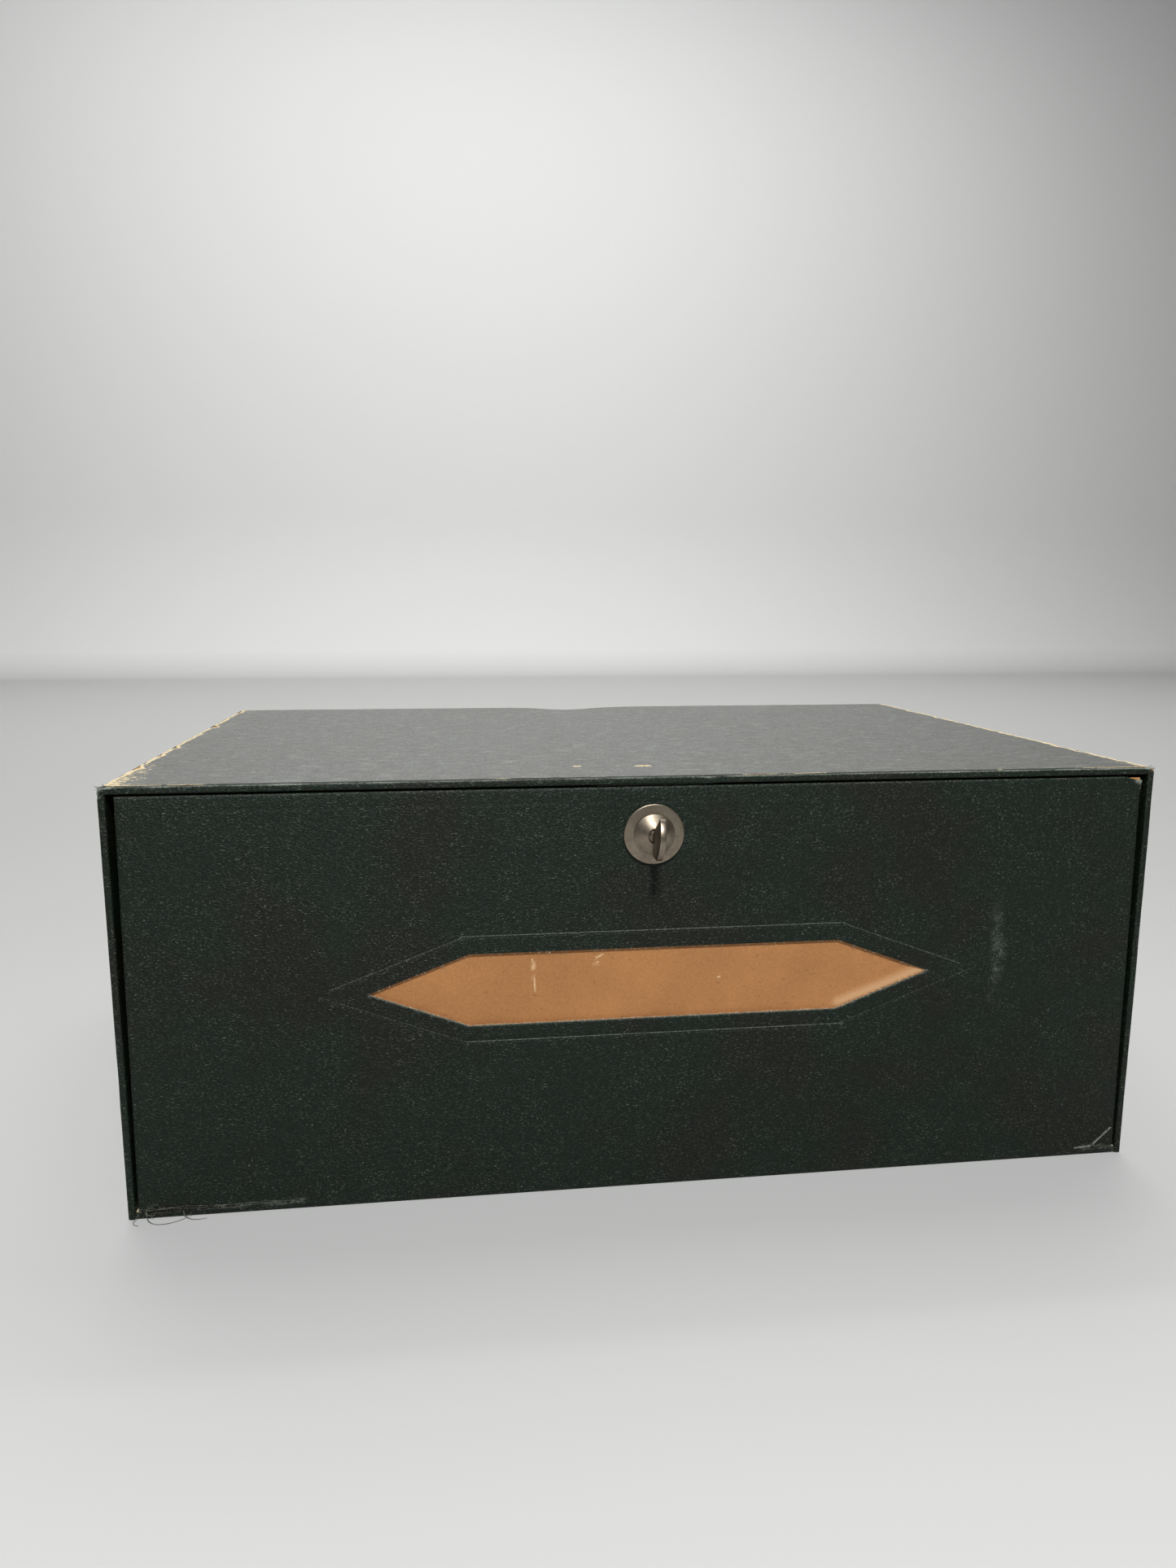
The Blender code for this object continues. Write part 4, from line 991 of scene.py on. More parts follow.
class DOCBOX_OT_linings(bpy.types.Operator):
    """Paper pasted on the floor, the walls and the ceiling, and tape in the back corners"""

    bl_idname = "docbox.linings"
    bl_label = "Linings"

    def execute(self, context):
        paper = material_of("lining", aged_lining_paper)
        thick = sizes().paper
        low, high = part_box("floor_lining")

        def floor_point(u, v):
            x, y = low.x + (high.x - low.x) * u, low.y + (high.y - low.y) * v
            y += 0.5 * MM * (1 + soft_noise((x, 0, 0), 4 * MM)) * falloff(y - low.y, 4 * MM)
            swell = 0.05 * MM * soft_noise((x, y, 0), 25 * MM, 1.0)
            swell += 0.05 * MM * soft_noise((x, y * 0.3, 0), 9 * MM, 2.0)
            return Vector((x, y, high.z + min(swell, 0)))

        floor = lay_grid("floor_paper", 120, 90, floor_point)
        thicken(floor, thick)
        place_piece(floor, paper, "lining_paper", "casing", "floor_lining")

        top_low, top_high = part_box("ceiling_lining")

        def ceiling_point(u, v):
            x = top_low.x + (top_high.x - top_low.x) * v
            y = top_low.y + (top_high.y - top_low.y) * u
            point = Vector((x, y, top_low.z + 0.04 * MM * max(0, soft_noise((x, y, 0), 22 * MM, 5.0))))
            point.z -= top_sag(point)
            return point

        ceiling = lay_grid("ceiling_paper", 80, 110, ceiling_point)
        thicken(ceiling, thick)
        place_piece(ceiling, paper, "lining_paper", "casing", "ceiling_lining")

        wall_low, wall_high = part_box("wall_lining")
        inner_x = wall_high.x - thick - 0.04 * MM
        inner_y = wall_high.y - thick - 0.04 * MM
        run = inner_y - wall_low.y
        total = 2 * run + 2 * inner_x

        def wall_point(u, v):
            way = u * total
            bend = 1.2 * MM
            if way < run:
                x, y, nx, ny = -inner_x, wall_low.y + way, 1, 0
            elif way < run + 2 * inner_x:
                x, y, nx, ny = -inner_x + way - run, inner_y, 0, -1
            else:
                x, y, nx, ny = inner_x, inner_y - (way - run - 2 * inner_x), -1, 0
            z = wall_low.z + (wall_high.z - wall_low.z) * v
            corner = falloff(math.hypot(abs(x) - inner_x, y - inner_y), 2 * bend)
            shift = 0.5 * bend * corner
            out = max(0, 0.06 * MM * soft_noise((x, y, z), 24 * MM, 6.0)) * 0.6
            return Vector(
                (x + nx * out - math.copysign(shift, x) * abs(ny), y + ny * out - shift * abs(nx), z)
            )

        walls = lay_grid("wall_paper", 300, 50, wall_point)
        thicken(walls, thick * 0.9)
        place_piece(walls, paper, "lining_paper", "casing", "wall_lining")

        for side, node in ((-1, "left_corner_tape"), (1, "right_corner_tape")):
            tape_low, tape_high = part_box(node)
            corner_x = tape_low.x if side < 0 else tape_high.x
            corner_y = tape_high.y
            wide = tape_high.y - tape_low.y

            def tape_point(u, v):
                z = tape_low.z + (tape_high.z - tape_low.z) * v
                way = (2 * u - 1) * wide * (1 + 0.02 * soft_noise((0, u, z), 8 * MM, side))
                bend = 1.0 * MM
                along = max(abs(way) - bend, 0) + 0.35 * bend * min(1, abs(way) / bend)
                base = 0.3 * bend
                near = base * falloff(way, bend)
                if way * side < 0:
                    return Vector((corner_x - side * (base + along), corner_y - near, z))
                return Vector((corner_x - side * near, corner_y - base - along, z))

            tape = lay_grid(node.replace("corner_", "woven_"), 30, 90, tape_point)
            thicken(tape, 0.14 * MM)
            place_piece(tape, material_of("tape", linen_tape), "linen_tape", "casing", node)
        return {"FINISHED"}


# ---- Pieces of the drop front -------------------------------------------------------------


def half_front(z):
    """Half the drop front's width at a height."""
    rise = (z - FLAP_LOW) / (FLAP_HIGH - FLAP_LOW)
    return FLAP_FOOT_HALF + (FLAP_TOP_HALF - FLAP_FOOT_HALF) * rise


def window_shape():
    """(half length, half straight, half height, middle height)"""
    margin = sizes().window_margin
    return (
        CARD_HIGH.x - margin,
        sizes().window_straight / 2,
        (CARD_HIGH.z - CARD_LOW.z) / 2 - margin,
        (CARD_HIGH.z + CARD_LOW.z) / 2,
    )


def window_corners():
    tip, straight, half, middle = window_shape()
    return [
        (-tip, middle),
        (-straight, middle - half),
        (straight, middle - half),
        (tip, middle),
        (straight, middle + half),
        (-straight, middle + half),
    ]


def tooled_lines():
    """(line, strength): blind lines round the window and along the front's top and foot."""
    tip, straight, half, middle = window_shape()
    out = sizes().tooling_out
    slope = half / (tip - straight)
    reach = straight + out * math.tan(math.atan(slope) / 2)
    up, down = middle + half + out, middle - half - out
    far_up, far_down = 117 * MM, 121 * MM
    lines = [
        (((-reach - 2 * MM, up), (reach + 1 * MM, up)), 1.0),
        (((-reach, down), (reach + 2 * MM, down)), 1.0),
    ]
    for side in (-1, 1):
        lines.append((((side * reach, up), (side * far_up, up - slope * (far_up - reach))), 0.85))
        lines.append((((side * reach, down), (side * far_down, down + slope * (far_down - reach))), 0.75))
    head = FLAP_HIGH - 5.4 * MM
    lines.append((((-180 * MM, head), (180 * MM, head)), 0.55))
    lines.append((((-150 * MM, FLAP_LOW + 9.6 * MM), (176 * MM, FLAP_LOW + 9.6 * MM)), 0.4))
    return lines


CREASES = [
    (((170 * MM, 3.2 * MM), (177 * MM, 3.9 * MM)), 1.0),
    (((177 * MM, 3.9 * MM), (184.6 * MM, 11 * MM)), 1.0),
]


def tear_height(x):
    """Half the height of the slit that is torn in the fold of the cloth, or 0 where it is whole."""
    ragged = 1 + 0.5 * soft_noise((x, 0, 0), 2.4 * MM, 15.0)
    left = 1.15 * MM * falloff(x + 172 * MM, 23 * MM) ** 0.5 * ragged
    thin = 0.5 * MM * falloff(x + 142 * MM, 14 * MM) * max(0, soft_noise((x, 0, 0), 4 * MM, 25.0) + 0.25)
    right = 0.42 * MM * falloff(x - 181 * MM, 9 * MM) * ragged
    return max(left, thin, right)


def tear_middle(x):
    return 2.9 * MM + 0.4 * MM * soft_noise((x, 0, 0), 11 * MM, 45.0)


def bend_at_fold(piece):
    """Bakes the piece's placing into its points; it is not split at the fold and is given no body."""
    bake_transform(piece)


class DOCBOX_OT_cover_cloth(bpy.types.Operator):
    """Cloth over the drop front, turned in behind, and down over the fold to the base"""

    bl_idname = "docbox.cover_cloth"
    bl_label = "Cover cloth"

    def execute(self, context):
        arris = sizes().arris
        top_row = FLAP_HIGH - arris

        def face_point(u, v):
            z = FLAP_LOW + (top_row - FLAP_LOW) * v
            return Vector(((2 * u - 1) * (half_front(z) - arris), FRONT, z))

        cloth = lay_grid("cover_cloth", 186, 74, face_point)
        lines = tooled_lines()
        relief = 1.9 * MM

        def near_tooling(point):
            return any(line_distance(point.x, point.z, line) < relief for line, _ in lines + CREASES)

        def near_tear(point):
            return point.z < 7 * MM and any(
                tear_height(point.x + step * MM) > 0.08 * MM for step in (-2, 0, 2)
            )

        refine(cloth, lambda p: near_tooling(p) or near_tear(p), 3)
        refine(
            cloth,
            lambda p: any(line_distance(p.x, p.z, line) < 0.9 * MM for line, _ in lines + CREASES),
            1,
        )
        close = 0.05 * MM
        profile = arc_points(arris, 4)
        profile += [(0, FLAP_DEEP / 2), (0, FLAP_DEEP - arris)]
        profile += [(inset, FLAP_DEEP - deep) for inset, deep in reversed(arc_points(arris, 4)[:-1])]
        turn_in = sizes().turn_in
        profile += [(turn_in * share, FLAP_DEEP) for share in (0.25, 0.45, 0.65, 0.85, 1.0)]

        def rim_station(before, after):
            def station(point):
                (inset, _), (new_inset, new_deep) = before, after
                point = point.copy()
                head = point.z > FLAP_HIGH - inset - close
                side = abs(point.x) > half_front(point.z) - inset - close
                if head:
                    point.z = FLAP_HIGH - new_inset
                if side:
                    point.x = math.copysign(half_front(point.z) - new_inset, point.x)
                point.y = FRONT + new_deep
                if new_inset > turn_in - 0.5 * MM:
                    ragged = 0.3 * MM * soft_noise(point, 5 * MM, 3.0)
                    point.x += math.copysign(ragged, point.x) if side else 0
                    point.z += ragged if head else 0
                return point

            return station

        def on_rim(point):
            return point.z > top_row - close or abs(point.x) > half_front(point.z) - arris - close

        extrude_rim(cloth, on_rim, [rim_station(a, b) for a, b in zip(profile, profile[1:])])

        widen = HINGE_HALF / (FLAP_FOOT_HALF - arris)
        foot = arris * 0.8

        def foot_station(z, deep, grow):
            def station(point):
                scale = 1 + (widen - 1) * grow
                return Vector((point.x * scale, FRONT + deep, z))

            return station

        down = [(2.5, 0, 1.0), (2.0, 0, 0), (1.5, 0, 0), (1.1, 0, 0), (foot / MM, 0, 0)]
        stations = [foot_station(z * MM, deep * MM, grow) for z, deep, grow in down]
        stations += [
            foot_station(foot * (1 - math.sin(t)), foot * (1 - math.cos(t)), 0)
            for t in (0.4, 0.8, 1.2, math.pi / 2)
        ]
        stations += [foot_station(0, deep * MM, 0) for deep in (2.5, 5, 7.5, 10, 12)]
        foot_half = FLAP_FOOT_HALF - arris + close
        extrude_rim(
            cloth,
            lambda p: p.z < FLAP_LOW + close and p.y < FRONT + close and abs(p.x) <= foot_half,
            stations,
        )

        tear_out(
            cloth,
            lambda p: p.y < FRONT + 0.3 * MM
            and p.z > 1.4 * MM
            and abs(p.z - tear_middle(p.x)) < tear_height(p.x)
            and abs(p.x) < FLAP_FOOT_HALF - 1.2 * MM,
        )

        def relief_shift(point):
            face = falloff(point.y - FRONT, 1.2 * MM)
            deep = 0.0
            if face and point.z > 1.5 * MM:
                for line, strength in lines:
                    away = line_distance(point.x, point.z, line)
                    if away < relief:
                        groove = math.exp(-((away / sizes().tooling_width) ** 2))
                        lip = math.exp(-(((away - 1.1 * MM) / (0.35 * MM)) ** 2))
                        deep += strength * sizes().tooling_deep * (groove - 0.35 * lip)
                for line, strength in CREASES:
                    away = line_distance(point.x, point.z, line)
                    deep -= 0.4 * MM * strength * falloff(away, 1.0 * MM)
            swell = 0.10 * MM * soft_noise(point, 60 * MM, 14.0)
            swell += 0.03 * MM * soft_noise(point, 11 * MM, 18.0)
            swell *= falloff(point.z - 80 * MM, 78 * MM)
            lift = 0.0
            if point.z < 8 * MM and tear_height(point.x) > 0:
                lift = 0.5 * MM * falloff(point.z - tear_middle(point.x), 2.2 * MM) * (
                    0.6 + soft_noise(point, 2.2 * MM, 28.0)
                )
            return Vector((0, face * (deep + 0.10 * MM - swell - lift), 0))

        move_points(cloth, relief_shift)
        corner = Vector((FLAP_TOP_HALF, FRONT, FLAP_HIGH))
        refine(cloth, lambda p: (p - corner).length < 9 * MM and p.y < FRONT + 3 * MM, 2)

        def dog_ear(point):
            near = falloff((point - corner).length, 7.5 * MM)
            crumple = Vector([soft_noise(point, 1.6 * MM, seed) for seed in (3.0, 6.0, 12.0)])
            return (crumple * 0.45 * MM + Vector((0.8 * MM, 0.15 * MM, -1.2 * MM))) * near

        move_points(cloth, dog_ear)
        thicken(cloth, sizes().cloth)
        self.cut_holes(cloth)

        corners = window_corners()
        cut_edges = list(zip(corners[:3], corners[1:4]))

        def rubbed(point):
            sides = falloff(half_front(point.z) - abs(point.x), 1.4 * MM)
            head = falloff(FLAP_HIGH - point.z, 1.4 * MM)
            front = falloff(point.y - FRONT, 2 * MM)
            # Painted highlight: each tooled line is painted pale just below its groove, where light from
            # above would catch the groove's lower lip.
            lit = point.z - 0.3 * MM
            tooled = max(
                strength * math.exp(-((line_distance(point.x, lit, line) / (0.35 * MM)) ** 2))
                for line, strength in lines
            )
            crease = max(falloff(line_distance(point.x, point.z, line), 0.8 * MM) for line, _ in CREASES)
            cut = max(falloff(line_distance(point.x, point.z, line), 1.3 * MM) for line in cut_edges)
            torn = 0.0
            if point.z < 8 * MM and tear_height(point.x) > 0:
                torn = falloff(point.z - tear_middle(point.x), 2.4 * MM)
            scuff_x = (131.3 + 0.8 * math.sin(point.z / (6 * MM))) * MM
            patchy = 0.9 + 0.6 * soft_noise(point, 3.1 * MM, 55.0)
            streak = falloff(point.x - scuff_x, 6 * MM) * falloff(point.z - 87 * MM, 36 * MM)
            scuff = 0.47 * streak**0.5 * patchy
            tick = 0.4 * falloff(point.x - 158.4 * MM, 0.9 * MM) * falloff(point.z - 13.5 * MM, 6.5 * MM)
            worn_corner = 1.1 * falloff((point - corner).length, 5.5 * MM)
            foot = 0.45 * falloff(point.z - 5 * MM, 3.5 * MM)
            foot *= max(0, 0.3 + soft_noise(point, 8 * MM, 33.0))
            edges = max(0.6 * cut, 0.45 * sides, 0.5 * head, 0.5 * torn, worn_corner, foot)
            return min(1, front * max(edges, 0.68 * tooled, 0.85 * crease, scuff, tick))

        rub(cloth, rubbed)
        place_piece(cloth, cloth_material(), "green_grained_cloth", None)
        bend_at_fold(cloth)
        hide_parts("flap_cover_cloth", "hinge_cloth")
        return {"FINISHED"}

    def cut_holes(self, cloth):
        """Cuts the window and the spindle's hole."""
        bpy.ops.object.select_all(action="DESELECT")
        bpy.ops.mesh.primitive_cylinder_add(vertices=6, radius=1, depth=1, location=(0, 0, 0))
        window = bpy.context.object
        corners = window_corners()
        for vert in window.data.vertices:
            turn = round(math.degrees(math.atan2(vert.co.x, vert.co.y)) / 60) % 6
            x, z = corners[turn]
            vert.co = (x, FRONT + (-2 * MM if vert.co.z > 0 else 2.4 * MM), z)
        apply_hole(cloth, window)
        bpy.ops.object.select_all(action="DESELECT")
        bpy.ops.mesh.primitive_cylinder_add(
            vertices=32, radius=3.5 * MM, depth=20 * MM, location=SPINDLE, rotation=(math.pi / 2, 0, 0)
        )
        apply_hole(cloth, bpy.context.object)


def apply_hole(piece, cutter):
    """Cuts cutter out of piece and removes the cutter."""
    choose(cutter)
    bpy.ops.object.mode_set(mode="EDIT")
    bpy.ops.mesh.select_all(action="SELECT")
    bpy.ops.mesh.normals_make_consistent(inside=False)
    bpy.ops.object.mode_set(mode="OBJECT")
    apply_modifier(piece, "BOOLEAN", operation="DIFFERENCE", solver="EXACT", object=cutter)
    bpy.data.objects.remove(cutter)


class DOCBOX_OT_label_card(bpy.types.Operator):
    """The plain brown card behind the window, bent at its right end"""

    bl_idname = "docbox.label_card"
    bl_label = "Label card"

    def execute(self, context):
        tip, straight, half, middle = window_shape()
        bend_line = ((straight + 2 * MM, middle - half + 5.2 * MM), (tip - 3 * MM, middle + 3.2 * MM))
        lower_edge = ((straight, middle - half), (tip, middle))
        bend_highlight_line = ((straight + 1 * MM, middle - half + 2.2 * MM), (tip - 1 * MM, middle + 1.2 * MM))

        def place(u, v):
            x = CARD_LOW.x + (CARD_HIGH.x - CARD_LOW.x) * u
            z = CARD_LOW.z + (CARD_HIGH.z - CARD_LOW.z) * v
            y = CARD_LOW.y + 0.03 * MM + 0.05 * MM * max(0, soft_noise((x, 0, z), 30 * MM, 2.0))
            (x0, z0), (x1, z1) = lower_edge
            across = ((z - z0) * (x1 - x0) - (x - x0) * (z1 - z0)) / math.hypot(x1 - x0, z1 - z0)
            inside = falloff(min(across, 0), 0.5 * MM)
            lift = min(max(1 - across / (4.6 * MM), 0), 1) * inside * falloff(x - 90 * MM, 30 * MM) ** 0.4
            return Vector((x, y - 0.95 * MM * lift, z))

        card = lay_grid("window_card", 190, 40, place)
        refine(card, lambda p: line_distance(p.x, p.z, bend_line) < 4 * MM, 1)
        thicken(card, 0.3 * MM)

        marks = [
            ((-45.6, 90.2), (-45.1, 86.8)),
            ((-44.9, 84.4), (-44.6, 78.2)),
            ((-22.6, 89.6), (-20.0, 91.0)),
            ((23.0, 80.4), (23.8, 80.6)),
            ((-21.6, 88.2), (-23.0, 87.4)),
        ]

        def scratches_and_bend_highlight(point):
            spots = [((a[0] * MM, a[1] * MM), (b[0] * MM, b[1] * MM)) for a, b in marks]
            scratch = max(falloff(line_distance(point.x, point.z, line), 0.45 * MM) for line in spots)
            # Painted highlight: a pale band along the bend, where the lifted card would catch the light.
            bent = falloff(line_distance(point.x, point.z, bend_highlight_line), 3.0 * MM)
            return max(0.75 * scratch, 0.34 * bent)

        refine(card, lambda p: scratches_and_bend_highlight(p) > 0.3 and p.x < 60 * MM, 2)
        rub(card, scratches_and_bend_highlight)
        place_piece(card, material_of("card", kraft_card), "kraft_card", "drop_front", "label_card")
        return {"FINISHED"}


class DOCBOX_OT_flap_lining(bpy.types.Operator):
    """Paper on the inside of the drop front, turned under its foot"""

    bl_idname = "docbox.flap_lining"
    bl_label = "Flap lining"

    def execute(self, context):
        low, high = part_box("flap_lining")
        inset = half_front(low.z) - high.x
        face = high.y
        under = 0.14 * MM
        fold = 0.5 * MM
        rows = [high.z - (high.z - FLAP_LOW - fold) * i / 60 for i in range(61)]
        path = [(z, face) for z in rows]
        path += [
            (FLAP_LOW - under + (fold + under) * (1 - math.sin(t)), face - fold * (1 - math.cos(t)))
            for t in (0.4, 0.8, 1.2, math.pi / 2)
        ]
        path += [(FLAP_LOW - under, face - step * MM) for step in (1.0, 1.7, 2.4, 2.9)]

        def place(u, v):
            z, y = path[round((1 - v) * (len(path) - 1))]
            x = (2 * u - 1) * (half_front(max(z, low.z)) - inset)
            flat = falloff(z - 72 * MM, 68 * MM)
            y -= flat * 0.05 * MM * max(0, soft_noise((x, 0, z), 26 * MM, 9.0))
            return Vector((-x, y, z))

        lining = lay_grid("front_lining", 130, len(path) - 1, place)
        thicken(lining, 0.12 * MM)
        paper = material_of("lining", aged_lining_paper)
        place_piece(lining, paper, "lining_paper", "drop_front", "flap_lining")
        return {"FINISHED"}


class DOCBOX_OT_fraying(bpy.types.Operator):
    """Threads and fibres where the cloth is torn, cut or rubbed through, and a strip of painted shade
    behind the tear
    """

    bl_idname = "docbox.fraying"
    bl_label = "Fraying"

    def execute(self, context):
        chance = random.Random(11)

        # Painted shade: a near-black strip behind the torn fold stands in for the shadow inside the slit.
        reach, deep = FLAP_FOOT_HALF - 0.34 * MM, 0.36 * MM

        def shade_strip_point(u, v):
            x = (2 * u - 1) * (reach + 1.6 * MM)
            return Vector(
                (min(max(x, -reach), reach), FRONT + deep + max(abs(x) - reach, 0), 0.9 * MM + 6.6 * MM * v)
            )

        backing = lay_grid("fold_shade_strip", 232, 14, shade_strip_point)
        thicken(backing, 0.08 * MM)
        place_piece(backing, material_of("fold shade", painted_fold_shade), "green_grained_cloth", None)
        bend_at_fold(backing)

        # Short ends that stand out of the slit, in bands along it
        bands = ((-186, -150), (-186, -128), (168, 185), (-34, -6))
        strands = []
        for _ in range(210):
            x = chance.choice([chance.uniform(*band) for band in bands]) * MM
            half = tear_height(x)
            if half < 0.05 * MM:
                continue
            upper = chance.random() < 0.6
            z = tear_middle(x) + (half if upper else -half)
            drop = chance.uniform(0.5, 1.9) * MM * (-1 if upper else 0.7)
            lean = chance.uniform(-1.6, 1.6) * MM
            out = chance.uniform(0.05, 0.55) * MM

            def end_point(share):
                along = x + lean * share + 0.15 * MM * math.sin(9 * share + x / MM)
                forward = FRONT - out * math.sin(math.pi * share * 0.8)
                return Vector((along, forward, max(z + drop * share, 0.15 * MM)))

            strands.append([end_point(share) for share in (0, 0.25, 0.5, 0.75, 1)])

        # Warp threads that lie along the slit: where each starts and how far it runs
        runs = ((-186, 17), (-176, 22), (-160, 24), (-150, 14), (-143, 16), (172, 11))
        for start, run in runs:
            for layer in range(2):

                def warp_point(share):
                    x = (start + run * share) * MM
                    out = (0.18 + 0.22 * abs(math.sin(4 * share + layer))) * MM
                    rise = (0.9 - 0.35 * layer) * MM + 0.35 * MM * math.sin(6 * share + 2 * layer + start)
                    return Vector((x, FRONT - out, tear_middle(x) + rise))

                strands.append([warp_point(i / 14) for i in range(15)])
        threads = make_fibres("fold_threads", strands, 0.065 * MM)
        place_piece(threads, material_of("thread", cotton_thread), None, None)
        bend_at_fold(threads)

        # Loose threads: points in millimetres across, back from the front face, and up
        long_loop = [(-184, 0.3, 2.6), (-183.4, -0.8, 1.9), (-182.6, -2.2, 0.9), (-181, -3.4, 0.25)]
        long_loop += [(-178.5, -4.3, 0.2), (-175.5, -4.1, 0.2), (-172.6, -3.0, 0.2)]
        long_loop += [(-170.2, -1.7, 0.45), (-168.4, -0.6, 1.3), (-167.5, 0.2, 2.2)]
        left_end = [(-186, 0.3, 2.0), (-187, -0.9, 1.2), (-187.6, -2.2, 0.3), (-187.0, -3.6, 0.2)]
        left_end += [(-185.4, -4.4, 0.2)]
        right_end = [(-171, 0.3, 2.2), (-170.2, -1.0, 1.0), (-168.0, -2.2, 0.3), (-165.2, -2.6, 0.2)]
        right_end += [(-162.4, -2.2, 0.2)]
        curl = [(-180.5, 0.3, 2.2), (-181.3, -1.0, 1.6), (-182.9, -1.4, 2.4), (-183.3, -1.0, 3.8)]
        curl += [(-181.9, -0.8, 4.6), (-180.3, -0.6, 4.0)]
        strands = [
            [Vector((0, FRONT, 0)) + point * MM for point in smooth(thread, 5)]
            for thread in (long_loop, left_end, right_end, curl)
        ]
        loose = make_fibres("loose_threads", strands, 0.14 * MM)
        place_piece(loose, material_of("thread", cotton_thread), None, "casing")

        # Fuzz on the window's six cut edges, thickest along its foot
        corners = window_corners()
        strands = []
        following = corners[1:] + corners[:1]
        for (x0, z0), (x1, z1), thickness in zip(corners, following, (1.0, 1.0, 0.7, 0.15, 0.1, 0.15)):
            span = math.hypot(x1 - x0, z1 - z0)
            side = Vector((x1 - x0, 0, z1 - z0)) / span
            inward = Vector((-side.z, 0, side.x))
            for _ in range(int(span / MM * 5.0 * thickness)):
                share = chance.random()
                long = chance.uniform(0.3, 0.95) * MM
                start = Vector((x0, FRONT + chance.uniform(0.0, 0.3) * MM, z0)) + side * span * share
                lean = chance.uniform(-0.5, 0.5)
                forward = Vector((0, chance.uniform(-0.5, 0.1), 0))
                way = inward + side * lean + forward
                strands.append([start, start + way * long * 0.5, start + (way + forward * 0.4) * long])
        fuzz = make_fibres("window_fibres", strands, 0.06 * MM)
        place_piece(fuzz, material_of("fibre", raw_edge_fibre), None, "drop_front")

        # Tufts at the casing's two upper front corners
        strands = []
        for side, count in ((-1, 60), (1, 36)):
            for _ in range(count):
                back = (chance.uniform(0.0, 3.0), chance.uniform(0.0, 2.5), chance.uniform(0.0, 1.2))
                start = Vector((side * (HALF - back[0] * MM), FRONT + back[1] * MM, TOP - back[2] * MM))
                across, forward = side * chance.uniform(-0.3, 0.9), chance.uniform(-0.9, 0.4)
                way = Vector((across, forward, chance.uniform(-0.1, 1.1)))
                long = chance.uniform(0.4, 1.5) * MM
                bow = Vector((chance.uniform(-0.3, 0.3), chance.uniform(-0.3, 0.3), -0.15)) * long
                strands.append([start, start + way * long * 0.5 + bow * 0.5, start + way * long])
        tufts = make_fibres("corner_fibres", strands, 0.05 * MM)
        place_piece(tufts, material_of("thread", cotton_thread), None, "casing")
        return {"FINISHED"}


def smooth(points, steps):
    """Points along a curve through the given ones."""
    vectors = [Vector(p) for p in points]
    ends = [2 * vectors[0] - vectors[1], *vectors, 2 * vectors[-1] - vectors[-2]]
    found = []
    for a, b, c, d in zip(ends, ends[1:], ends[2:], ends[3:]):
        for i in range(steps):
            t = i / steps
            square = 2 * a - 5 * b + 4 * c - d
            cube = 3 * b - a - 3 * c + d
            found.append(0.5 * (2 * b + (c - a) * t + square * t**2 + cube * t**3))
    return [*found, vectors[-1]]


def painted_fold_shade():
    """Painted shade for the fold behind the tear: a strip coloured brown-black and dull."""
    material, tree, shader, mm = start_material("Painted fold shade", 0.95)
    tone = add_node(tree, "TexNoise", {"Vector": mm, "Scale": 0.8, "Detail": 3.0}).outputs[0]
    share = add_node(tree, "MapRange", {0: tone, 1: 0.35, 2: 0.65}).outputs[0]
    coloured = add_node(
        tree, "Mix", {0: share, 6: rgba("#080706"), 7: rgba("#15110d")}, data_type="RGBA"
    ).outputs[2]
    tree.links.new(coloured, shader.inputs["Base Color"])
    return material


# ---- Latch and hidden boards --------------------------------------------------------------


def worked_copy(node, name, body, slot, material, arris):
    """A copy of a node with its edges eased, which stands for it."""
    source = frame["nodes"][node]
    piece = bpy.data.objects.new(name, source.data.copy())
    bpy.context.scene.collection.objects.link(piece)
    choose(piece)
    bpy.ops.object.mode_set(mode="EDIT")
    bpy.ops.mesh.select_all(action="SELECT")
    bpy.ops.mesh.remove_doubles(threshold=0.002 * MM)
    bpy.ops.mesh.dissolve_limited(angle_limit=math.radians(0.5))
    bpy.ops.object.mode_set(mode="OBJECT")
    ease_edges(piece, arris, 3, 35)
    return place_piece(piece, material, slot, body, node)


class DOCBOX_OT_hardware(bpy.types.Operator):
    """The latch, its plates and the keeper"""

    bl_idname = "docbox.hardware"
    bl_label = "Hardware"

    def execute(self, context):
        flat = turned_nickel("Turned nickel plate", SPINDLE.x, SPINDLE.z, 0.45)
        fine = turned_nickel("Fine-turned nickel plate", SPINDLE.x, SPINDLE.z, 0.22)
        blade = filed_metal("Polished nickel plate", colours().nickel, (1.0, 1.0, 0.12))
        steel = filed_metal("Rolled bright steel", colours().steel, (0.15, 1.0, 1.0))
        worked_copy("rosette", "latch_rosette", "drop_front", "nickel", flat, 0.12 * MM)
        worked_copy("knob_boss", "latch_boss", "latch", "nickel", fine, 0.1 * MM)
        worked_copy("thumb_blade", "latch_blade", "latch", "nickel", blade, 0.08 * MM)
        for node, body, arris in (
            ("backing_plate", "drop_front", 0.1),
            ("spring_washer", "latch", 0.04),
            ("latch_tongue", "latch", 0.12),
            ("spindle_nut", "latch", 0.12),
            ("keeper_bracket", "casing", 0.12),
            ("keeper_rivet_left", "casing", 0.05),
            ("keeper_rivet_right", "casing", 0.05),
        ):
            worked_copy(node, "steel_" + node, body, "bright_steel", steel, arris * MM)
        return {"FINISHED"}


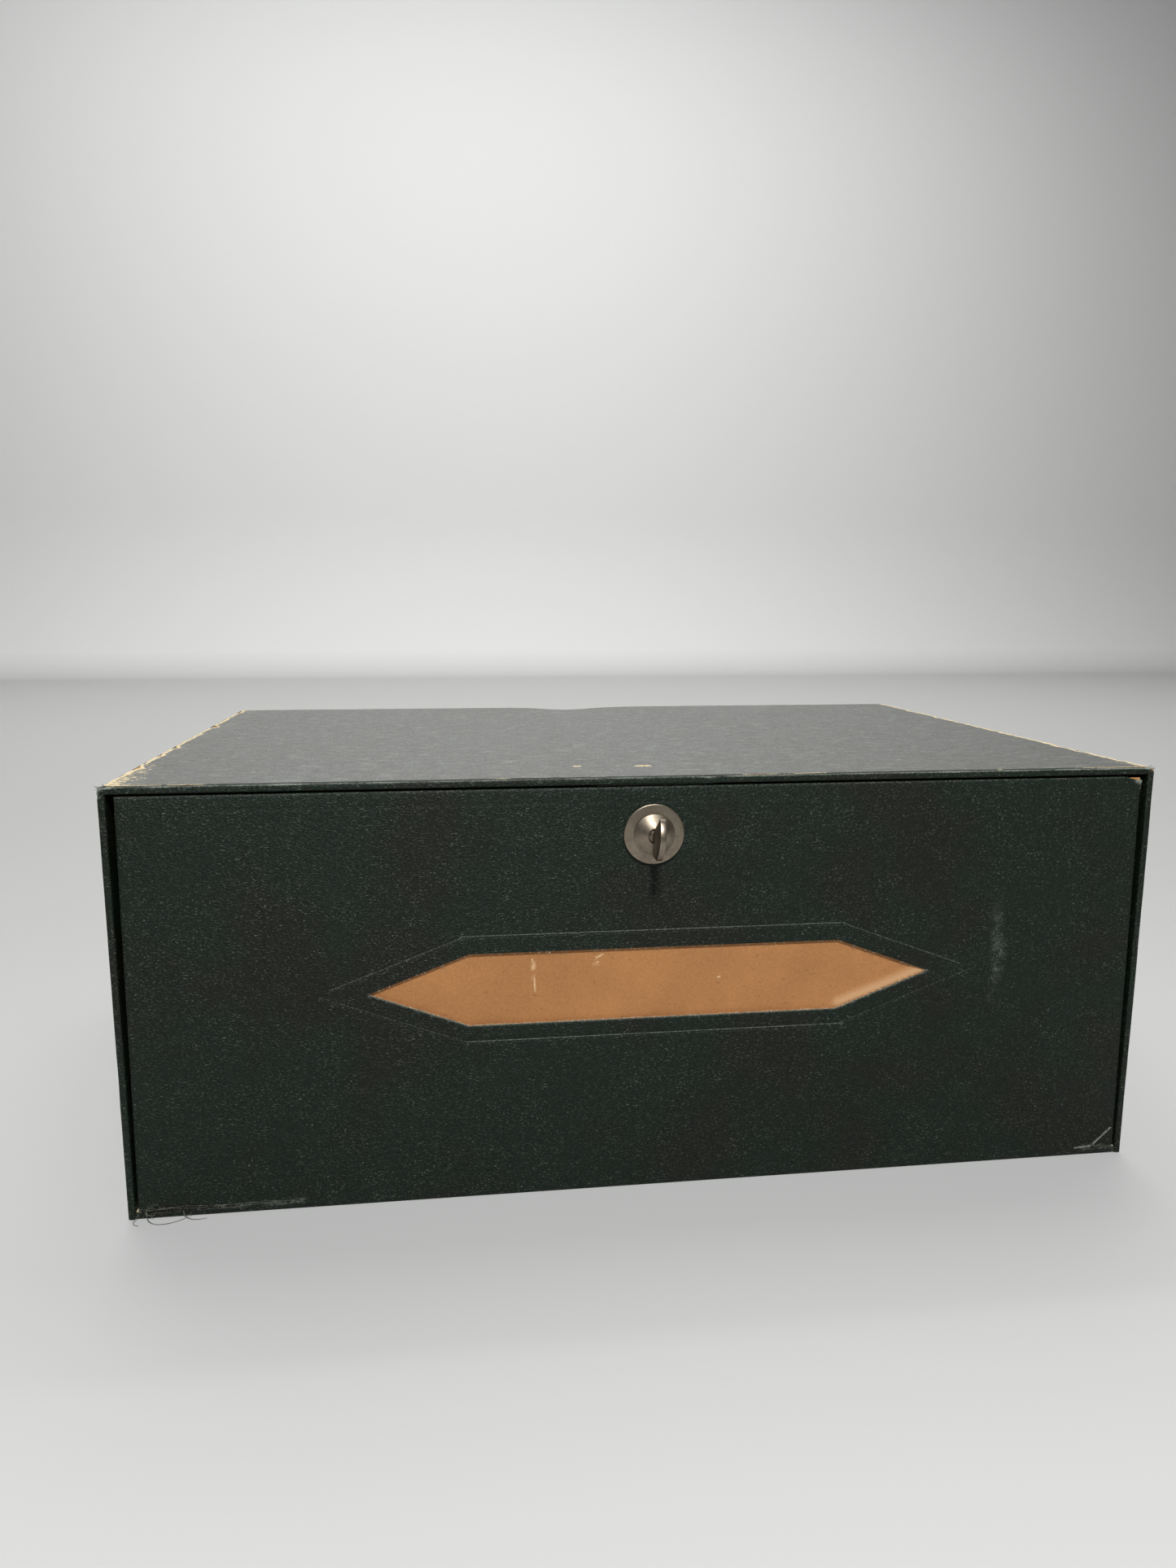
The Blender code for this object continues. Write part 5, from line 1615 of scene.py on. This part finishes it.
class DOCBOX_OT_boards(bpy.types.Operator):
    """The boards inside the cloth, with the box's own worn round at their edges"""

    bl_idname = "docbox.boards"
    bl_label = "Boards"

    def execute(self, context):
        board = material_of("board", pulp_board)
        for node in ("base_board", "back_board", "left_side_board", "right_side_board"):
            worked_copy(node, "worn_" + node, "casing", "greyboard", board, 0.7 * MM)
        for node in ("flap_front_board", "flap_back_board"):
            mesh = frame["nodes"][node].data
            mesh.materials.clear()
            mesh.materials.append(board)
        return {"FINISHED"}


# ---- Stage --------------------------------------------------------------------------------


def add_area_light(name, place, target, wide, watts, tint):
    light = bpy.data.lights.new(name, "AREA")
    light.shape = "RECTANGLE"
    light.size, light.size_y = wide
    light.energy = watts
    light.color = linear(tint)
    lamp = bpy.data.objects.new(name, light)
    bpy.context.scene.collection.objects.link(lamp)
    lamp.location = place
    lamp.rotation_euler = (Vector(target) - Vector(place)).to_track_quat("-Z", "Y").to_euler()


class DOCBOX_OT_stage(bpy.types.Operator):
    """Floor, light and camera"""

    bl_idname = "docbox.stage"
    bl_label = "Stage"

    def execute(self, context):
        bpy.ops.object.select_all(action="DESELECT")
        bend, level, near, far, wide, tall = 0.5, -0.05 * MM, 8.0, 2.6, 14.0, 3.0
        profile = [(-near + (far + near) * i / 10, level) for i in range(10)]
        for i in range(13):
            turn = math.pi / 24 * i
            profile.append((far + bend * math.sin(turn), level + bend * (1 - math.cos(turn))))
        profile.append((far + bend, tall))

        def sweep_point(u, v):
            y, z = profile[round(v * (len(profile) - 1))]
            return Vector(((u - 0.5) * wide, y, z))

        floor = lay_grid("floor", 1, len(profile) - 1, sweep_point)
        bpy.ops.object.shade_smooth()
        material, tree, shader, mm = start_material("Pale floor", 0.75)
        depth = add_node(tree, "SeparateXYZ", {0: mm}).outputs[1]
        backdrop = add_node(
            tree, "MapRange", {0: depth, 1: 1000 * far, 2: 1000 * (far + bend / 2)}
        ).outputs[0]
        coloured = add_node(
            tree, "Mix", {0: backdrop, 6: rgba("#c3c4c3"), 7: rgba("#eff0ef")}, data_type="RGBA"
        ).outputs[2]
        tree.links.new(coloured, shader.inputs["Base Color"])
        floor.data.materials.append(material)

        world = bpy.data.worlds.new("Studio")
        world.use_nodes = True
        sky = world.node_tree.nodes["Background"]
        sky.inputs["Color"].default_value = rgba("#eaebea")
        sky.inputs["Strength"].default_value = 0.07
        context.scene.world = world
        context.scene.view_settings.view_transform = "Standard"
        add_area_light("Key", (-0.05, -1.03, 1.21), (0, FRONT, 0.13), (0.16, 0.16), 23, "#ffffff")
        add_area_light("Overhead", (0.15, 1.3, 2.4), (0.15, 1.0, 0), (3.2, 2.0), 38, "#fffefc")
        add_area_light("Backdrop light", (0, 1.2, 2.6), (0, 3.1, 0.9), (2.5, 0.6), 29, "#ffffff")

        camera = bpy.data.cameras.new("Camera")
        camera.lens = 24.63
        camera.sensor_width = 36.0
        camera.clip_start = 0.01
        viewer = bpy.data.objects.new("Camera", camera)
        context.scene.collection.objects.link(viewer)
        eye = Vector((-74.5 * MM, FRONT - 367.8 * MM, 217.1 * MM))
        yaw, pitch, roll = math.radians(7.56), math.radians(9.66), math.radians(0.15)
        ahead = Vector((math.sin(yaw) * math.cos(pitch), math.cos(yaw) * math.cos(pitch), -math.sin(pitch)))
        right = Vector((math.cos(yaw), -math.sin(yaw), 0))
        up = right.cross(ahead)
        cos, sin = math.cos(roll), math.sin(roll)
        right, up = right * cos + up * sin, up * cos - right * sin
        turn = Matrix((right, up, -ahead)).transposed().to_4x4()
        turn.translation = eye
        viewer.matrix_world = turn
        context.scene.camera = viewer
        return {"FINISHED"}


class DOCBOX_PT_panel(bpy.types.Panel):
    """Lists the box's pieces, sizes and colours"""

    bl_idname = "DOCBOX_PT_panel"
    bl_label = "Document box"
    bl_space_type = "VIEW_3D"
    bl_region_type = "UI"
    bl_category = "Document box"

    def draw(self, context):
        for kind in PIECES:
            self.layout.operator(kind.bl_idname)
        for group in (context.scene.document_box_sizes, context.scene.document_box_colours):
            column = self.layout.column()
            for name in type(group).__annotations__:
                column.prop(group, name)


PIECES = (
    DOCBOX_OT_boards,
    DOCBOX_OT_top_sheet,
    DOCBOX_OT_edge_binding,
    DOCBOX_OT_side_wrap,
    DOCBOX_OT_base_sheet,
    DOCBOX_OT_linings,
    DOCBOX_OT_cover_cloth,
    DOCBOX_OT_label_card,
    DOCBOX_OT_flap_lining,
    DOCBOX_OT_fraying,
    DOCBOX_OT_hardware,
    DOCBOX_OT_stage,
)
CLASSES = (DocumentBoxSizes, DocumentBoxColours, *PIECES, DOCBOX_PT_panel)


def register():
    for kind in CLASSES:
        bpy.utils.register_class(kind)
    bpy.types.Scene.document_box_sizes = bpy.props.PointerProperty(type=DocumentBoxSizes)
    bpy.types.Scene.document_box_colours = bpy.props.PointerProperty(type=DocumentBoxColours)


def unregister():
    del bpy.types.Scene.document_box_colours
    del bpy.types.Scene.document_box_sizes
    for kind in reversed(CLASSES):
        bpy.utils.unregister_class(kind)


def main():
    register()
    for kind in PIECES:
        getattr(bpy.ops.docbox, kind.bl_idname.split(".")[1])()


if __name__ == "__main__":
    main()
